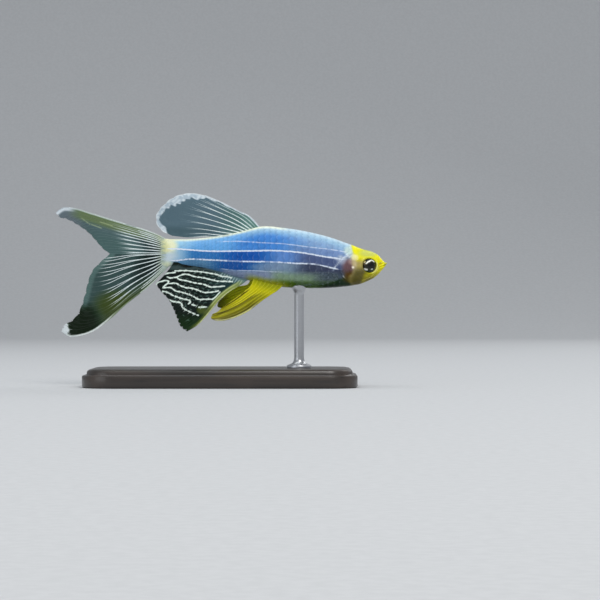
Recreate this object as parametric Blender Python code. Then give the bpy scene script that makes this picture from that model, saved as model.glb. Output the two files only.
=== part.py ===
"""A long-finned zebra danio, life size, held over a small display stand.

Sizes are real ones in millimetres. The fish is laid out in its own terms: s is the distance behind
the tip of the lips, z the height above its long axis, and y the distance to its left. place() turns
these into the scene's metres, with the head at +X and a slow bend of the whole body to the left.
"""

import math

import bmesh
import bpy
import numpy as np
from mathutils import Matrix, Vector

METRES = 0.001
GAP = 0.3
TOTAL_LENGTH = 54.1
AXIS_HEIGHT = 20.8

# The body bends towards its left: no bend at BEND_START, and BEND_SIZE at the tail's tip.
BEND_START = 12.0
BEND_SIZE = 3.2

# Distance behind the lips, height of the back, height of the belly, half of the width.
NOSE = 0.3
BODY_END = 36.8
PROFILE = (
    (NOSE, -0.98, -0.98, 0.0),
    (0.5, -0.66, -1.4, 0.5),
    (0.81, -0.42, -1.8, 0.72),
    (1.13, -0.02, -2.14, 0.9),
    (1.62, 0.49, -2.66, 1.15),
    (2.6, 1.02, -3.4, 1.52),
    (4.2, 1.47, -4.1, 1.95),
    (6.2, 2.25, -4.54, 2.3),
    (9.4, 3.39, -4.86, 2.5),
    (13.0, 4.3, -4.92, 2.52),
    (17.0, 4.93, -4.75, 2.3),
    (20.4, 5.16, -4.21, 1.95),
    (24.0, 4.3, -3.24, 1.55),
    (28.0, 3.54, -2.06, 1.15),
    (32.0, 3.16, -1.32, 0.85),
    (34.5, 3.14, -1.28, 0.68),
    (36.1, 3.26, -1.62, 0.52),
    (BODY_END, 3.18, -1.55, 0.42),
)
WIDEST_LEVEL = 0.52
ROUNDNESS = 2.2
BLUNT_NOSE = 0.12
BODY_STATIONS = 40
BODY_SIDES = 32

# The mouth: the front and the corner of each lip's line, and how thick the lip is there.
LIP_STEPS = 10
LIP_SIDES = 8
UPPER_LIP = {"front": (0.28, -0.78), "corner": (1.4, -1.32), "thick": (0.27, 0.17)}
LOWER_LIP = {"front": (0.56, -1.38), "corner": (1.44, -1.86), "thick": (0.27, 0.17)}
MOUTH_HALF_WIDTH = 1.02

NOSTRIL_PLACE = (1.75, 0.72)
NOSTRIL_RADIUS = 0.24

# Feelers, each point as s, y and z. The long one grows from the mouth's corner, the short one from
# the snout.
LONG_BARBEL = (
    (1.5, 0.8, -1.15),
    (1.45, 1.3, -1.35),
    (1.6, 1.65, -1.75),
    (2.9, 1.95, -3.1),
    (4.3, 2.15, -3.65),
)
SHORT_BARBEL = ((0.95, 0.45, -0.75), (1.15, 1.05, -0.8), (1.6, 1.5, -0.95))
BARBEL_THICKNESS = (0.24, 0.12)
BARBEL_STEPS = 8
BARBEL_SIDES = 6

# The eye is a flattened ball, turned a little forwards as the head narrows.
EYE_PLACE = (3.08, 1.2, -1.25)
EYE_RADIUS = 1.15
EYE_HALF_DEPTH = 0.7
EYE_TURN = math.radians(14)
BALL_SEGMENTS = 20
PIT_SEGMENTS = 10

# The gill cover is a thin plate over an upright oval, and its rear edge ends the head.
GILL_PLACE = (6.5, -1.54)
GILL_HALF_LENGTH = 1.35
GILL_HALF_HEIGHT = 2.2
GILL_THICKNESS = 0.6
GILL_REACH = (3.5, 9.5)
GILL_INNER_SIDE = 0.6
GILL_STEPS = 28
GILL_REAR_TURN = math.pi / 4
GILL_REAR_STEPS = 10

# Where the thin cuts between the pieces run, seen from the side.
BEFORE_SNOUT = -2.0
NAPE = (6.35, 3.2)
THROAT = (6.4, -5.6)
MOUTH_LINE = ((-0.5, -1.05), (1.38, -1.56))
JAW_JOINT = (2.3, -2.8)
JAW_THROAT = (3.0, -4.4)
JAW_FRONT = (-0.5, -4.4)
VENT_CUT = ((26.0, 5.5), (22.3, -5.5))
PAST_TAIL = 40.0
SIDE_REACH = 9.0

# Fins are as thick as MEMBRANE near the root and thin out to FIN_EDGE at the margin. Each ray stands
# proud of both faces by RAY_RISE at the root. Its half width is RAY_SHARE of the way to the next ray.
MEMBRANE = 0.5
FIN_EDGE = 0.3
THIN_FROM = 0.7
RAY_RISE = 0.16
RAY_RISE_AT_TIP = 0.07
RAY_SHARE = 0.24

# Each fin is bounded by a root, a leading edge, a margin and a trailing edge.
DORSAL_FIN = {
    "root": ((20.41, 4.37), (23.33, 3.56), (26.24, 2.92)),
    "lead": ((20.41, 4.37), (22.36, 6.64), (24.79, 7.94), (27.22, 9.2), (29.48, 10.16)),
    "margin": (
        (29.48, 10.16),
        (32.08, 10.53),
        (34.51, 10.0),
        (36.45, 8.59),
        (37.58, 7.05),
        (37.66, 5.99),
        (36.77, 4.54),
        (34.99, 3.75),
    ),
    "trail": ((26.24, 2.92), (29.16, 3.55), (32.08, 3.55), (34.99, 3.75)),
}
ANAL_FIN = {
    "root": ((22.68, -3.48), (25.6, -2.11), (29.65, -0.97), (34.67, -0.65)),
    "lead": (
        (22.68, -3.48),
        (24.0, -4.25),
        (25.2, -4.93),
        (26.3, -5.73),
        (27.3, -6.75),
        (28.4, -8.1),
        (29.6, -9.6),
        (31.0, -11.0),
        (32.56, -11.9),
    ),
    "margin": (
        (32.56, -11.9),
        (33.53, -11.18),
        (34.18, -9.72),
        (34.83, -8.1),
        (35.64, -6.64),
        (36.77, -5.43),
        (37.66, -4.21),
    ),
    "trail": ((34.67, -0.65), (35.48, -1.86), (36.45, -3.0), (37.66, -4.21)),
}
TAIL_SPLIT = 0.73
TAIL_UPPER = {
    "root": ((35.32, 2.6), (35.56, 1.66), (35.64, TAIL_SPLIT)),
    "lead": (
        (35.32, 2.6),
        (36.94, 3.54),
        (38.56, 4.24),
        (41.8, 5.3),
        (45.04, 6.24),
        (48.28, 7.32),
        (51.03, 8.13),
        (52.97, 8.21),
        (TOTAL_LENGTH, 7.42),
    ),
    "margin": (
        (TOTAL_LENGTH, 7.42),
        (53.62, 6.8),
        (52.16, 6.32),
        (50.38, 5.35),
        (48.6, 4.05),
        (47.14, 2.43),
        (46.17, 1.4),
        (45.2, TAIL_SPLIT),
    ),
    "trail": ((35.64, TAIL_SPLIT), (40.18, TAIL_SPLIT), (45.2, TAIL_SPLIT)),
}
TAIL_LOWER = {
    "root": ((35.32, -1.05), (35.56, -0.16), (35.64, TAIL_SPLIT)),
    "lead": (
        (35.32, -1.05),
        (36.45, -2.19),
        (38.56, -4.29),
        (42.61, -7.53),
        (46.17, -10.69),
        (47.95, -11.91),
        (49.9, -12.6),
        (52.0, -12.77),
        (53.3, -11.99),
    ),
    "margin": (
        (53.3, -11.99),
        (52.97, -11.02),
        (51.84, -10.29),
        (50.71, -9.31),
        (49.9, -7.61),
        (49.25, -5.51),
        (48.76, -3.56),
        (48.11, -2.02),
        (47.14, -0.97),
        (45.2, TAIL_SPLIT),
    ),
    "trail": ((35.64, TAIL_SPLIT), (40.18, TAIL_SPLIT), (45.2, TAIL_SPLIT)),
}
PELVIC_RIGHT = {
    "root": ((17.0, -4.3), (19.3, -3.9), (21.6, -3.1)),
    "lead": (
        (17.0, -4.3),
        (17.8, -5.1),
        (19.1, -5.96),
        (20.4, -6.85),
        (21.4, -7.65),
        (22.4, -8.42),
        (24.0, -9.28),
        (25.6, -9.88),
        (26.9, -10.15),
        (27.9, -10.1),
    ),
    "margin": ((27.9, -10.1), (28.6, -9.72), (28.45, -9.2), (27.6, -8.75), (26.9, -8.1)),
    "trail": ((21.6, -3.1), (22.2, -4.6), (23.5, -5.67), (24.8, -6.64), (25.9, -7.4), (26.9, -8.1)),
}
# The left pelvic fin is spread wider, so it looks shorter from the side, and is held higher.
PELVIC_LEFT = {
    "root": ((17.6, -4.2), (19.8, -3.8), (22.0, -3.0)),
    "lead": ((17.6, -4.2), (19.6, -5.5), (21.6, -6.7), (23.6, -7.6), (25.6, -8.1), (27.0, -8.15)),
    "margin": ((27.0, -8.15), (27.75, -7.85), (27.7, -7.35), (27.0, -6.55)),
    "trail": ((22.0, -3.0), (22.7, -4.3), (24.2, -4.65), (25.6, -5.3), (27.0, -6.55)),
}
PELVIC_FINS = {"right": (PELVIC_RIGHT, 0.2), "left": (PELVIC_LEFT, 0.45)}
PELVIC_HINGE = ((17.0, -4.3), (21.8, -3.5))
PELVIC_AT_ROOT = 0.7
PECTORAL_FIN = {
    "root": ((7.9, -2.6), (8.0, -3.1), (8.2, -3.6)),
    "lead": ((7.9, -2.6), (11.5, -2.3), (15.2, -3.0)),
    "margin": ((15.2, -3.0), (15.4, -3.8), (14.6, -4.4), (13.2, -4.6)),
    "trail": ((8.2, -3.6), (10.5, -4.3), (13.2, -4.6)),
}
PECTORAL_SPREAD = {"at_root": 2.0, "per_mm": 0.5}

# The number of rays in each fin, and of steps along them.
DORSAL_RAYS = (9, 9)
ANAL_RAYS = (13, 8)
TAIL_RAYS = (9, 12)
PELVIC_RAYS = (7, 9)
PECTORAL_RAYS = (8, 6)

# How far each upright fin leans to the left, and between which distances behind the lips or, for the
# anal fin's drop, below the axis the lean sets in.
DORSAL_LEAN = -0.5
DORSAL_LEAN_SPAN = (22.0, 38.0)
ANAL_LEAN = -0.8
ANAL_LEAN_SPAN = (30.0, 38.0)
ANAL_LEAN_DROP = (0.5, 12.0)
TAIL_TWIST = 0.9
TAIL_HALF_SPREAD = 9.0

BASE_SIZE = (44.0, 22.0, 3.0)
BASE_CORNER = 5.0
BASE_CORNER_STEPS = 8
BASE_BEVEL = 0.5
ROD_PLACE = 14.4
ROD_RADIUS = 0.8
ROD_SIDES = 24
ROD_TOP = AXIS_HEIGHT - 2.0
ROD_FOOT_RADIUS = 2.0
ROD_FOOT_HEIGHT = 0.8

COLOURS = {
    "blue_skin": ((0.16, 0.36, 0.75), 0.35),
    "yellow_skin": ((0.85, 0.75, 0.05), 0.4),
    "gill_skin": ((0.55, 0.32, 0.32), 0.35),
    "clear_fin": ((0.42, 0.52, 0.5), 0.45),
    "yellow_fin": ((0.75, 0.7, 0.05), 0.45),
    "eye": ((0.05, 0.06, 0.04), 0.08),
    "stand_wood": ((0.06, 0.05, 0.045), 0.5),
    "stand_steel": ((0.6, 0.6, 0.62), 0.3),
}


def bend(s):
    """How far to the left the middle of the fish lies."""
    return BEND_SIZE * ((s - BEND_START) / (TOTAL_LENGTH - BEND_START)) ** 2


def place(s, y, z):
    """The scene's point, in metres, of a point on the fish."""
    return Vector((TOTAL_LENGTH / 2 - s, y + bend(s), AXIS_HEIGHT + z)) * METRES


def smooth(knots, values, x):
    """The value at x on a smooth curve through values at the knots."""
    knots = np.asarray(knots, float)
    values = np.asarray(values, float)
    slopes = np.gradient(values, knots, axis=0)
    i = int(np.clip(np.searchsorted(knots, x) - 1, 0, len(knots) - 2))
    width = knots[i + 1] - knots[i]
    t = (x - knots[i]) / width
    ends = (1 + 2 * t) * (1 - t) ** 2 * values[i] + t * t * (3 - 2 * t) * values[i + 1]
    return ends + width * (t * (1 - t) ** 2 * slopes[i] - t * t * (1 - t) * slopes[i + 1])


def along(points, share):
    """The point at a share, 0 to 1, of the way along a smooth curve through the points."""
    points = np.asarray(points, float)
    reach = np.concatenate([[0.0], np.cumsum(np.linalg.norm(np.diff(points, axis=0), axis=1))])
    return smooth(reach / reach[-1], points, share)


def fade(share, start, end):
    """0 before start and 1 after end, with a smooth rise between them."""
    t = min(max((share - start) / (end - start), 0.0), 1.0)
    return t * t * (3 - 2 * t)


def mesh_object(name, points, faces):
    """A closed mesh object, its faces split into triangles and turned outwards."""
    mesh = bpy.data.meshes.new(name)
    mesh.from_pydata([tuple(p) for p in points], [], faces)
    shell = bmesh.new()
    shell.from_mesh(mesh)
    bmesh.ops.triangulate(shell, faces=[f for f in shell.faces if len(f.verts) > 3])
    bmesh.ops.recalc_face_normals(shell, faces=shell.faces)
    shell.to_mesh(mesh)
    shell.free()
    made = bpy.data.objects.new(name, mesh)
    bpy.context.scene.collection.objects.link(made)
    return made


def rings_object(name, rings):
    """A closed tube through rings of points, with a flat cap on each end."""
    sides = len(rings[0])
    points = [p for ring in rings for p in ring]
    faces = []
    for r in range(len(rings) - 1):
        for k in range(sides):
            a, b = r * sides + k, r * sides + (k + 1) % sides
            faces.append((a, b, b + sides, a + sides))
    faces.append(tuple(range(sides)))
    faces.append(tuple(range(len(points) - sides, len(points))))
    return mesh_object(name, points, faces)


def tube(name, spine, radii, sides):
    """A closed tube round a line of points in the scene, as thick as radii says at each."""
    rings = []
    across = Vector((0, 0, 1))
    for i, (centre, radius) in enumerate(zip(spine, radii)):
        ahead = (spine[min(i + 1, len(spine) - 1)] - spine[max(i - 1, 0)]).normalized()
        across = (across - ahead * across.dot(ahead)).normalized()
        up = ahead.cross(across)
        turns = [2 * math.pi * k / sides for k in range(sides)]
        rings.append([centre + (across * math.cos(a) + up * math.sin(a)) * radius * METRES for a in turns])
    return rings_object(name, rings)


def ball(name, centre, radii, turn=0.0, segments=BALL_SEGMENTS):
    """A closed ellipsoid about a point of the scene, its poles to the fish's sides but for the turn."""
    shell = bmesh.new()
    bmesh.ops.create_uvsphere(shell, u_segments=segments, v_segments=segments // 2, radius=METRES)
    set_down = Matrix.Translation(centre) @ Matrix.Rotation(turn, 4, "Z") @ Matrix.Diagonal((*radii, 1))
    bmesh.ops.transform(shell, matrix=set_down @ Matrix.Rotation(math.pi / 2, 4, "X"), verts=shell.verts)
    mesh = bpy.data.meshes.new(name)
    shell.to_mesh(mesh)
    shell.free()
    made = bpy.data.objects.new(name, mesh)
    bpy.context.scene.collection.objects.link(made)
    return made


def prism(name, outline, side=0):
    """The outline, seen from the side, run right through the fish, or into one side of it."""
    near, far = (-SIDE_REACH, SIDE_REACH) if side == 0 else (side * GILL_INNER_SIDE, side * SIDE_REACH)
    rings = [[place(s, y, z) for s, z in outline] for y in (near, far)]
    return rings_object(name, rings)


def bake(obj):
    """Applies the object's modifiers and keeps its largest closed surface."""
    graph = bpy.context.evaluated_depsgraph_get()
    mesh = bpy.data.meshes.new_from_object(obj.evaluated_get(graph))
    obj.modifiers.clear()
    old, obj.data = obj.data, mesh
    bpy.data.meshes.remove(old)
    shell = bmesh.new()
    shell.from_mesh(mesh)
    islands, seen = [], set()
    for start in shell.verts:
        if start in seen:
            continue
        island, edge_of = [], [start]
        seen.add(start)
        while edge_of:
            vert = edge_of.pop()
            island.append(vert)
            for edge in vert.link_edges:
                other = edge.other_vert(vert)
                if other not in seen:
                    seen.add(other)
                    edge_of.append(other)
        islands.append(island)
    largest = max(islands, key=lambda island: box_size(v.co for v in island))
    for island in islands:
        if island is not largest:
            bmesh.ops.delete(shell, geom=island, context="VERTS")
    shell.to_mesh(mesh)
    shell.free()
    return obj


def box_size(points):
    """The volume of the box round the points."""
    corners = np.array([tuple(p) for p in points])
    return float(np.prod(corners.max(0) - corners.min(0)))


def carve(obj, operation, *tools):
    """Cuts or clips the object by each tool in turn."""
    for tool in tools:
        modifier = obj.modifiers.new(operation, "BOOLEAN")
        modifier.operation = operation
        modifier.object = tool
        modifier.solver = "EXACT"
    return bake(obj)


def fuse(obj, pieces):
    """Joins the pieces to the object with one union, and removes them."""
    group = bpy.data.collections.new(obj.name + "_pieces")
    bpy.context.scene.collection.children.link(group)
    for piece in pieces:
        bpy.context.scene.collection.objects.unlink(piece)
        group.objects.link(piece)
    modifier = obj.modifiers.new("UNION", "BOOLEAN")
    modifier.operation = "UNION"
    modifier.operand_type = "COLLECTION"
    modifier.collection = group
    modifier.solver = "EXACT"
    bake(obj)
    for piece in pieces:
        bpy.data.objects.remove(piece)
    bpy.data.collections.remove(group)
    return obj


def copy_of(obj, name):
    """A second object with a mesh of its own."""
    made = bpy.data.objects.new(name, obj.data.copy())
    bpy.context.scene.collection.objects.link(made)
    return made


def body_ring(reach, grow):
    """One upright section of the body. reach is the square root of the distance behind the nose."""
    knots = [math.sqrt(row[0] - NOSE) for row in PROFILE]
    back, belly, half = smooth(knots, [row[1:] for row in PROFILE], reach)
    back, belly, half = back + grow, belly - grow, half + grow
    s = NOSE + reach * reach + grow * (2 * reach / knots[-1] - 1)
    middle = belly + WIDEST_LEVEL * (back - belly)
    ring = []
    for k in range(BODY_SIDES):
        turn = 2 * math.pi * k / BODY_SIDES
        up, out = math.cos(turn), math.sin(turn)
        height = (back - middle) if up > 0 else (middle - belly)
        y = math.copysign(abs(out) ** (2 / ROUNDNESS), out) * half
        z = middle + math.copysign(abs(up) ** (2 / ROUNDNESS), up) * height
        ring.append(place(s, y, z))
    return ring


def body(name, grow=0.0, span=(NOSE, BODY_END)):
    """The whole body without fins, grown outwards or, below zero, inwards."""
    first, last = (math.sqrt(s - NOSE) for s in span)
    first = max(first, BLUNT_NOSE)
    steps = [first + (last - first) * k / (BODY_STATIONS - 1) for k in range(BODY_STATIONS)]
    return rings_object(name, [body_ring(reach, grow) for reach in steps])


def lip(name, sizes):
    """A lip: a tapered roll from one corner of the mouth round the front to the other."""
    front_s, front_z = sizes["front"]
    corner_s, corner_z = sizes["corner"]
    spine, radii = [], []
    for k in range(LIP_STEPS + 1):
        turn = math.pi * (k / LIP_STEPS - 0.5)
        back = 1 - math.cos(turn)
        s = front_s + (corner_s - front_s) * back
        z = front_z + (corner_z - front_z) * back
        spine.append(place(s, MOUTH_HALF_WIDTH * math.sin(turn), z))
        radii.append(sizes["thick"][0] + (sizes["thick"][1] - sizes["thick"][0]) * back)
    return tube(name, spine, radii, LIP_SIDES)


def barbels():
    """The four feelers: a long and a short one on each side, tapered to the tip."""
    made = []
    for side in (-1, 1):
        for path in (LONG_BARBEL, SHORT_BARBEL):
            shares = [k / BARBEL_STEPS for k in range(BARBEL_STEPS + 1)]
            spine = [place(p[0], side * p[1], p[2]) for p in (along(path, t) for t in shares)]
            thick, thin = BARBEL_THICKNESS
            radii = [thick + (thin - thick) * t for t in shares]
            made.append(tube("barbel", spine, radii, BARBEL_SIDES))
    return made


def gill_oval(grow, turns):
    """Points of the gill cover's outline, at turns from its rearmost point upwards."""
    return [
        (
            GILL_PLACE[0] + (GILL_HALF_LENGTH + grow) * math.cos(t),
            GILL_PLACE[1] + (GILL_HALF_HEIGHT + grow) * math.sin(t),
        )
        for t in turns
    ]


def head_outline(grow=0.0):
    """The head seen from the side. It ends at the gill cover's rear edge."""
    half = GILL_REAR_STEPS // 2
    arc = gill_oval(grow, [GILL_REAR_TURN * k / half for k in range(-half, half + 1)])
    lower = [(BEFORE_SNOUT, THROAT[1]), (THROAT[0] + grow, THROAT[1])]
    upper = [(NAPE[0] + grow, NAPE[1]), (BEFORE_SNOUT, NAPE[1])]
    return lower + arc + upper


def jaw_outline(grow=0.0):
    """The lower jaw seen from the side, from the mouth's line down to the throat."""
    (front_s, front_z), (corner_s, corner_z) = MOUTH_LINE
    half = GAP / 2 - grow
    return [
        (front_s, front_z - half),
        (corner_s + grow / 2, corner_z - half),
        (JAW_JOINT[0] + grow, JAW_JOINT[1]),
        (JAW_THROAT[0] + grow, JAW_THROAT[1]),
        (JAW_FRONT[0], JAW_FRONT[1]),
    ]


def head_and_body():
    """Models the body whole with its lips, and parts it with thin cuts into its named pieces."""
    whole = fuse(body("whole"), [lip("upper_lip", UPPER_LIP), lip("lower_lip", LOWER_LIP)])
    vent = [VENT_CUT[0], VENT_CUT[1], (PAST_TAIL, VENT_CUT[1][1]), (PAST_TAIL, VENT_CUT[0][1])]
    vent_grown = [(s - GAP if s < PAST_TAIL else s, z) for s, z in vent]
    tools = {
        "head": prism("head_tool", head_outline()),
        "head_grown": prism("head_grown", head_outline(GAP)),
        "jaw": prism("jaw_tool", jaw_outline()),
        "jaw_grown": prism("jaw_grown", jaw_outline(GAP)),
        "tail": prism("tail_tool", vent),
        "tail_grown": prism("tail_grown", vent_grown),
    }
    trunk = carve(copy_of(whole, "trunk"), "DIFFERENCE", tools["head_grown"], tools["tail_grown"])
    stem = carve(copy_of(whole, "tail_stem"), "INTERSECT", tools["tail"])
    jaw = carve(copy_of(whole, "lower_jaw"), "INTERSECT", tools["jaw"])
    head = carve(copy_of(whole, "head"), "INTERSECT", tools["head"])
    carve(head, "DIFFERENCE", tools["jaw_grown"])
    fuse(head, barbels())
    covers = gill_covers(whole, head)
    eyes_made = eyes(head)
    nostrils(head)
    for tool in (*tools.values(), whole):
        bpy.data.objects.remove(tool)
    return {
        "head": (head, "yellow_skin"),
        "lower_jaw": (jaw, "yellow_skin"),
        "trunk": (trunk, "blue_skin"),
        "tail_stem": (stem, "blue_skin"),
        **covers,
        **eyes_made,
    }


def gill_covers(whole, head):
    """Lifts a thin plate off each side of the head and sinks the head under it."""
    made = {}
    turns = [2 * math.pi * k / GILL_STEPS for k in range(GILL_STEPS)]
    under_plate = body("under_plate", -GILL_THICKNESS, GILL_REACH)
    under_gap = body("under_gap", -GILL_THICKNESS - GAP, GILL_REACH)
    for word, side in (("right", -1), ("left", 1)):
        plate = carve(prism("gill_cover_" + word, gill_oval(0.0, turns), side), "INTERSECT", whole)
        carve(plate, "DIFFERENCE", under_plate)
        recess = carve(prism("recess", gill_oval(GAP, turns), side), "DIFFERENCE", under_gap)
        carve(head, "DIFFERENCE", recess)
        bpy.data.objects.remove(recess)
        made[plate.name] = (plate, "gill_skin")
    bpy.data.objects.remove(under_plate)
    bpy.data.objects.remove(under_gap)
    return made


def eyes(head):
    """Sets a rounded eye in a socket on each side of the head."""
    made = {}
    for word, side in (("right", -1), ("left", 1)):
        centre = place(EYE_PLACE[0], side * EYE_PLACE[1], EYE_PLACE[2])
        radii = (EYE_RADIUS, EYE_HALF_DEPTH, EYE_RADIUS)
        turn = -side * EYE_TURN
        socket = ball("socket", centre, [r + GAP for r in radii], turn)
        carve(head, "DIFFERENCE", socket)
        bpy.data.objects.remove(socket)
        eye = ball("eye_" + word, centre, radii, turn)
        made[eye.name] = (eye, "eye")
    return made


def nostrils(head):
    """Sinks one small pit in front of each eye."""
    s, y = NOSTRIL_PLACE
    back = smooth([row[0] for row in PROFILE], [row[1] for row in PROFILE], s)
    for side in (-1, 1):
        centre = place(s, side * y, back - NOSTRIL_RADIUS)
        pit = ball("pit", centre, [NOSTRIL_RADIUS] * 3, segments=PIT_SEGMENTS)
        carve(head, "DIFFERENCE", pit)
        bpy.data.objects.remove(pit)


def fin_point(edges, u, v):
    """A point of the fin seen from the side: u from leading to trailing edge, v from root to margin."""
    root, margin = along(edges["root"], u), along(edges["margin"], u)
    lead, trail = along(edges["lead"], v), along(edges["trail"], v)
    corners = (
        (1 - u) * (1 - v) * np.array(edges["root"][0])
        + u * (1 - v) * np.array(edges["root"][-1])
        + (1 - u) * v * np.array(edges["margin"][0])
        + u * v * np.array(edges["margin"][-1])
    )
    return (1 - v) * root + v * margin + (1 - u) * lead + u * trail - corners


def fin_columns(rays):
    """Where the fin's columns stand, and whether each runs along a ray: a ray, then its two valleys."""
    gap = 1 / (rays - 1)
    columns = []
    for k in range(rays - 1):
        columns += [(k * gap, True), ((k + RAY_SHARE) * gap, False), ((k + 1 - RAY_SHARE) * gap, False)]
    return columns + [(1.0, True)]


def fin(name, edges, aside, rays, rows):
    """A thin closed plate over the fin's outline, ridged along its rays, and aside(s, z) to the left."""

    def surface(u, v):
        s, z = fin_point(edges, min(max(u, 0.0), 1.0), min(max(v, 0.0), 1.0))
        return place(s, aside(s, z), z)

    step = 1e-3
    faces, sheet = [], {}
    points = []
    stations = fin_columns(rays)
    columns = len(stations) - 1
    for side in (-1, 1):
        for j in range(rows + 1):
            v = j / rows
            rise = RAY_RISE + (RAY_RISE_AT_TIP - RAY_RISE) * v
            thick = MEMBRANE + (FIN_EDGE - MEMBRANE) * fade(v, THIN_FROM, 1.0)
            for i, (u, on_ray) in enumerate(stations):
                along_u = surface(u + step, v) - surface(u - step, v)
                along_v = surface(u, v + step) - surface(u, v - step)
                normal = along_u.cross(along_v).normalized()
                half = thick / 2 + (rise if on_ray else 0.0)
                sheet[side, i, j] = len(points)
                points.append(surface(u, v) + normal * side * half * METRES)
    for side in (-1, 1):
        for j in range(rows):
            for i in range(columns):
                a, b = sheet[side, i, j], sheet[side, i + 1, j]
                c, d = sheet[side, i + 1, j + 1], sheet[side, i, j + 1]
                faces += [(a, b, c), (a, c, d)]
    rim = [(i, 0) for i in range(columns)] + [(columns, j) for j in range(rows)]
    rim += [(i, rows) for i in range(columns, 0, -1)] + [(0, j) for j in range(rows, 0, -1)]
    for (i, j), (k, m) in zip(rim, rim[1:] + rim[:1]):
        a, b = sheet[-1, i, j], sheet[-1, k, m]
        c, d = sheet[1, k, m], sheet[1, i, j]
        faces += [(a, b, c), (a, c, d)]
    return mesh_object(name, points, faces)


def dorsal_lean(s, z):
    """The dorsal fin tips to the right towards its margin."""
    return DORSAL_LEAN * fade(s, *DORSAL_LEAN_SPAN)


def anal_lean(s, z):
    """The anal fin tips to the right towards its rear corner and its tip."""
    return ANAL_LEAN * (fade(-z, *ANAL_LEAN_DROP) + fade(s, *ANAL_LEAN_SPAN))


def tail_lean(s, z):
    """The tail fin's lobes curl to opposite sides."""
    reach = (s - BODY_END) / (TOTAL_LENGTH - BODY_END)
    return -TAIL_TWIST * reach**2 * (z - TAIL_SPLIT) / TAIL_HALF_SPREAD


def upright_fins():
    """The fins on the fish's middle plane."""
    half = GAP / 2
    upper = shifted(TAIL_UPPER, half)
    lower = shifted(TAIL_LOWER, -half)
    return {
        "dorsal_fin": (fin("dorsal_fin", DORSAL_FIN, dorsal_lean, *DORSAL_RAYS), "clear_fin"),
        "anal_fin": (fin("anal_fin", ANAL_FIN, anal_lean, *ANAL_RAYS), "clear_fin"),
        "tail_fin_upper": (fin("tail_fin_upper", upper, tail_lean, *TAIL_RAYS), "clear_fin"),
        "tail_fin_lower": (fin("tail_fin_lower", lower, tail_lean, *TAIL_RAYS), "clear_fin"),
    }


def shifted(edges, step):
    """A tail lobe whose inner edge is moved off the split by the step."""
    made = {}
    for word, points in edges.items():
        made[word] = tuple((s, z + step if z == TAIL_SPLIT else z) for s, z in points)
    return made


def off_hinge(s, z):
    """How far a point, seen from the side, is from the line that the pelvic fins are hinged on."""
    (start_s, start_z), (end_s, end_z) = PELVIC_HINGE
    run_s, run_z = end_s - start_s, end_z - start_z
    share = ((s - start_s) * run_s + (z - start_z) * run_z) / (run_s**2 + run_z**2)
    share = min(max(share, 0.0), 1.0)
    return math.hypot(s - start_s - share * run_s, z - start_z - share * run_z)


def paired_fins():
    """The pectoral fins behind the gill covers and the pelvic fins under the belly."""
    made = {}
    for word, side in (("right", -1), ("left", 1)):
        outline, spread = PELVIC_FINS[word]

        def pelvic_spread(s, z, side=side, spread=spread):
            return side * (PELVIC_AT_ROOT + spread * off_hinge(s, z))

        def pectoral_spread(s, z, side=side):
            reach = s - PECTORAL_FIN["root"][0][0]
            return side * (PECTORAL_SPREAD["at_root"] + PECTORAL_SPREAD["per_mm"] * reach)

        pelvic = fin("pelvic_fin_" + word, outline, pelvic_spread, *PELVIC_RAYS)
        pectoral = fin("pectoral_fin_" + word, PECTORAL_FIN, pectoral_spread, *PECTORAL_RAYS)
        made[pelvic.name] = (pelvic, "yellow_fin")
        made[pectoral.name] = (pectoral, "clear_fin")
    return made


def stand():
    """A flat base with rounded corners, and a short rod with a foot that rises to the belly."""
    length, width, height = BASE_SIZE
    corners = []
    for k, (cx, cy) in enumerate(((1, 1), (-1, 1), (-1, -1), (1, -1))):
        for step in range(BASE_CORNER_STEPS + 1):
            turn = math.pi / 2 * (k + step / BASE_CORNER_STEPS)
            x = cx * (length / 2 - BASE_CORNER) + BASE_CORNER * math.cos(turn)
            y = cy * (width / 2 - BASE_CORNER) + BASE_CORNER * math.sin(turn)
            corners.append((x, y))
    inset = 1 - 2 * BASE_BEVEL / width
    levels = ((0.0, 1.0), (height - BASE_BEVEL, 1.0), (height, inset))
    rings = [[Vector((x * k, y * k, z)) * METRES for x, y in corners] for z, k in levels]
    base = rings_object("stand_base", rings)
    foot = height + GAP
    profile = (
        (foot, ROD_FOOT_RADIUS),
        (foot + ROD_FOOT_HEIGHT, ROD_FOOT_RADIUS),
        (foot + ROD_FOOT_HEIGHT, ROD_RADIUS),
        (ROD_TOP, ROD_RADIUS),
    )
    x, y = TOTAL_LENGTH / 2 - ROD_PLACE, bend(ROD_PLACE)
    turns = [2 * math.pi * k / ROD_SIDES for k in range(ROD_SIDES)]
    rings = []
    for z, radius in profile:
        ring = [Vector((x + radius * math.cos(a), y + radius * math.sin(a), z)) * METRES for a in turns]
        rings.append(ring)
    rod = rings_object("stand_rod", rings)
    return {"stand_base": (base, "stand_wood"), "stand_rod": (rod, "stand_steel")}


def finish(node, material_name, holder):
    """Gives the node its material, sets its origin at its own middle and hangs it on the holder."""
    colour, roughness = COLOURS[material_name]
    material = bpy.data.materials.get(material_name) or bpy.data.materials.new(material_name)
    material.use_nodes = True
    shader = material.node_tree.nodes["Principled BSDF"]
    shader.inputs["Base Color"].default_value = (*colour, 1)
    shader.inputs["Roughness"].default_value = roughness
    shader.inputs["Metallic"].default_value = 1.0 if material_name == "stand_steel" else 0.0
    node.data.materials.clear()
    node.data.materials.append(material)
    corners = np.array([tuple(v.co) for v in node.data.vertices])
    middle = Vector((corners.min(0) + corners.max(0)) / 2)
    node.data.transform(Matrix.Translation(-middle))
    node.location = middle
    node.parent = holder
    node.data.shade_smooth()
    node.data.set_sharp_from_angle(angle=math.radians(40))


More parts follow.
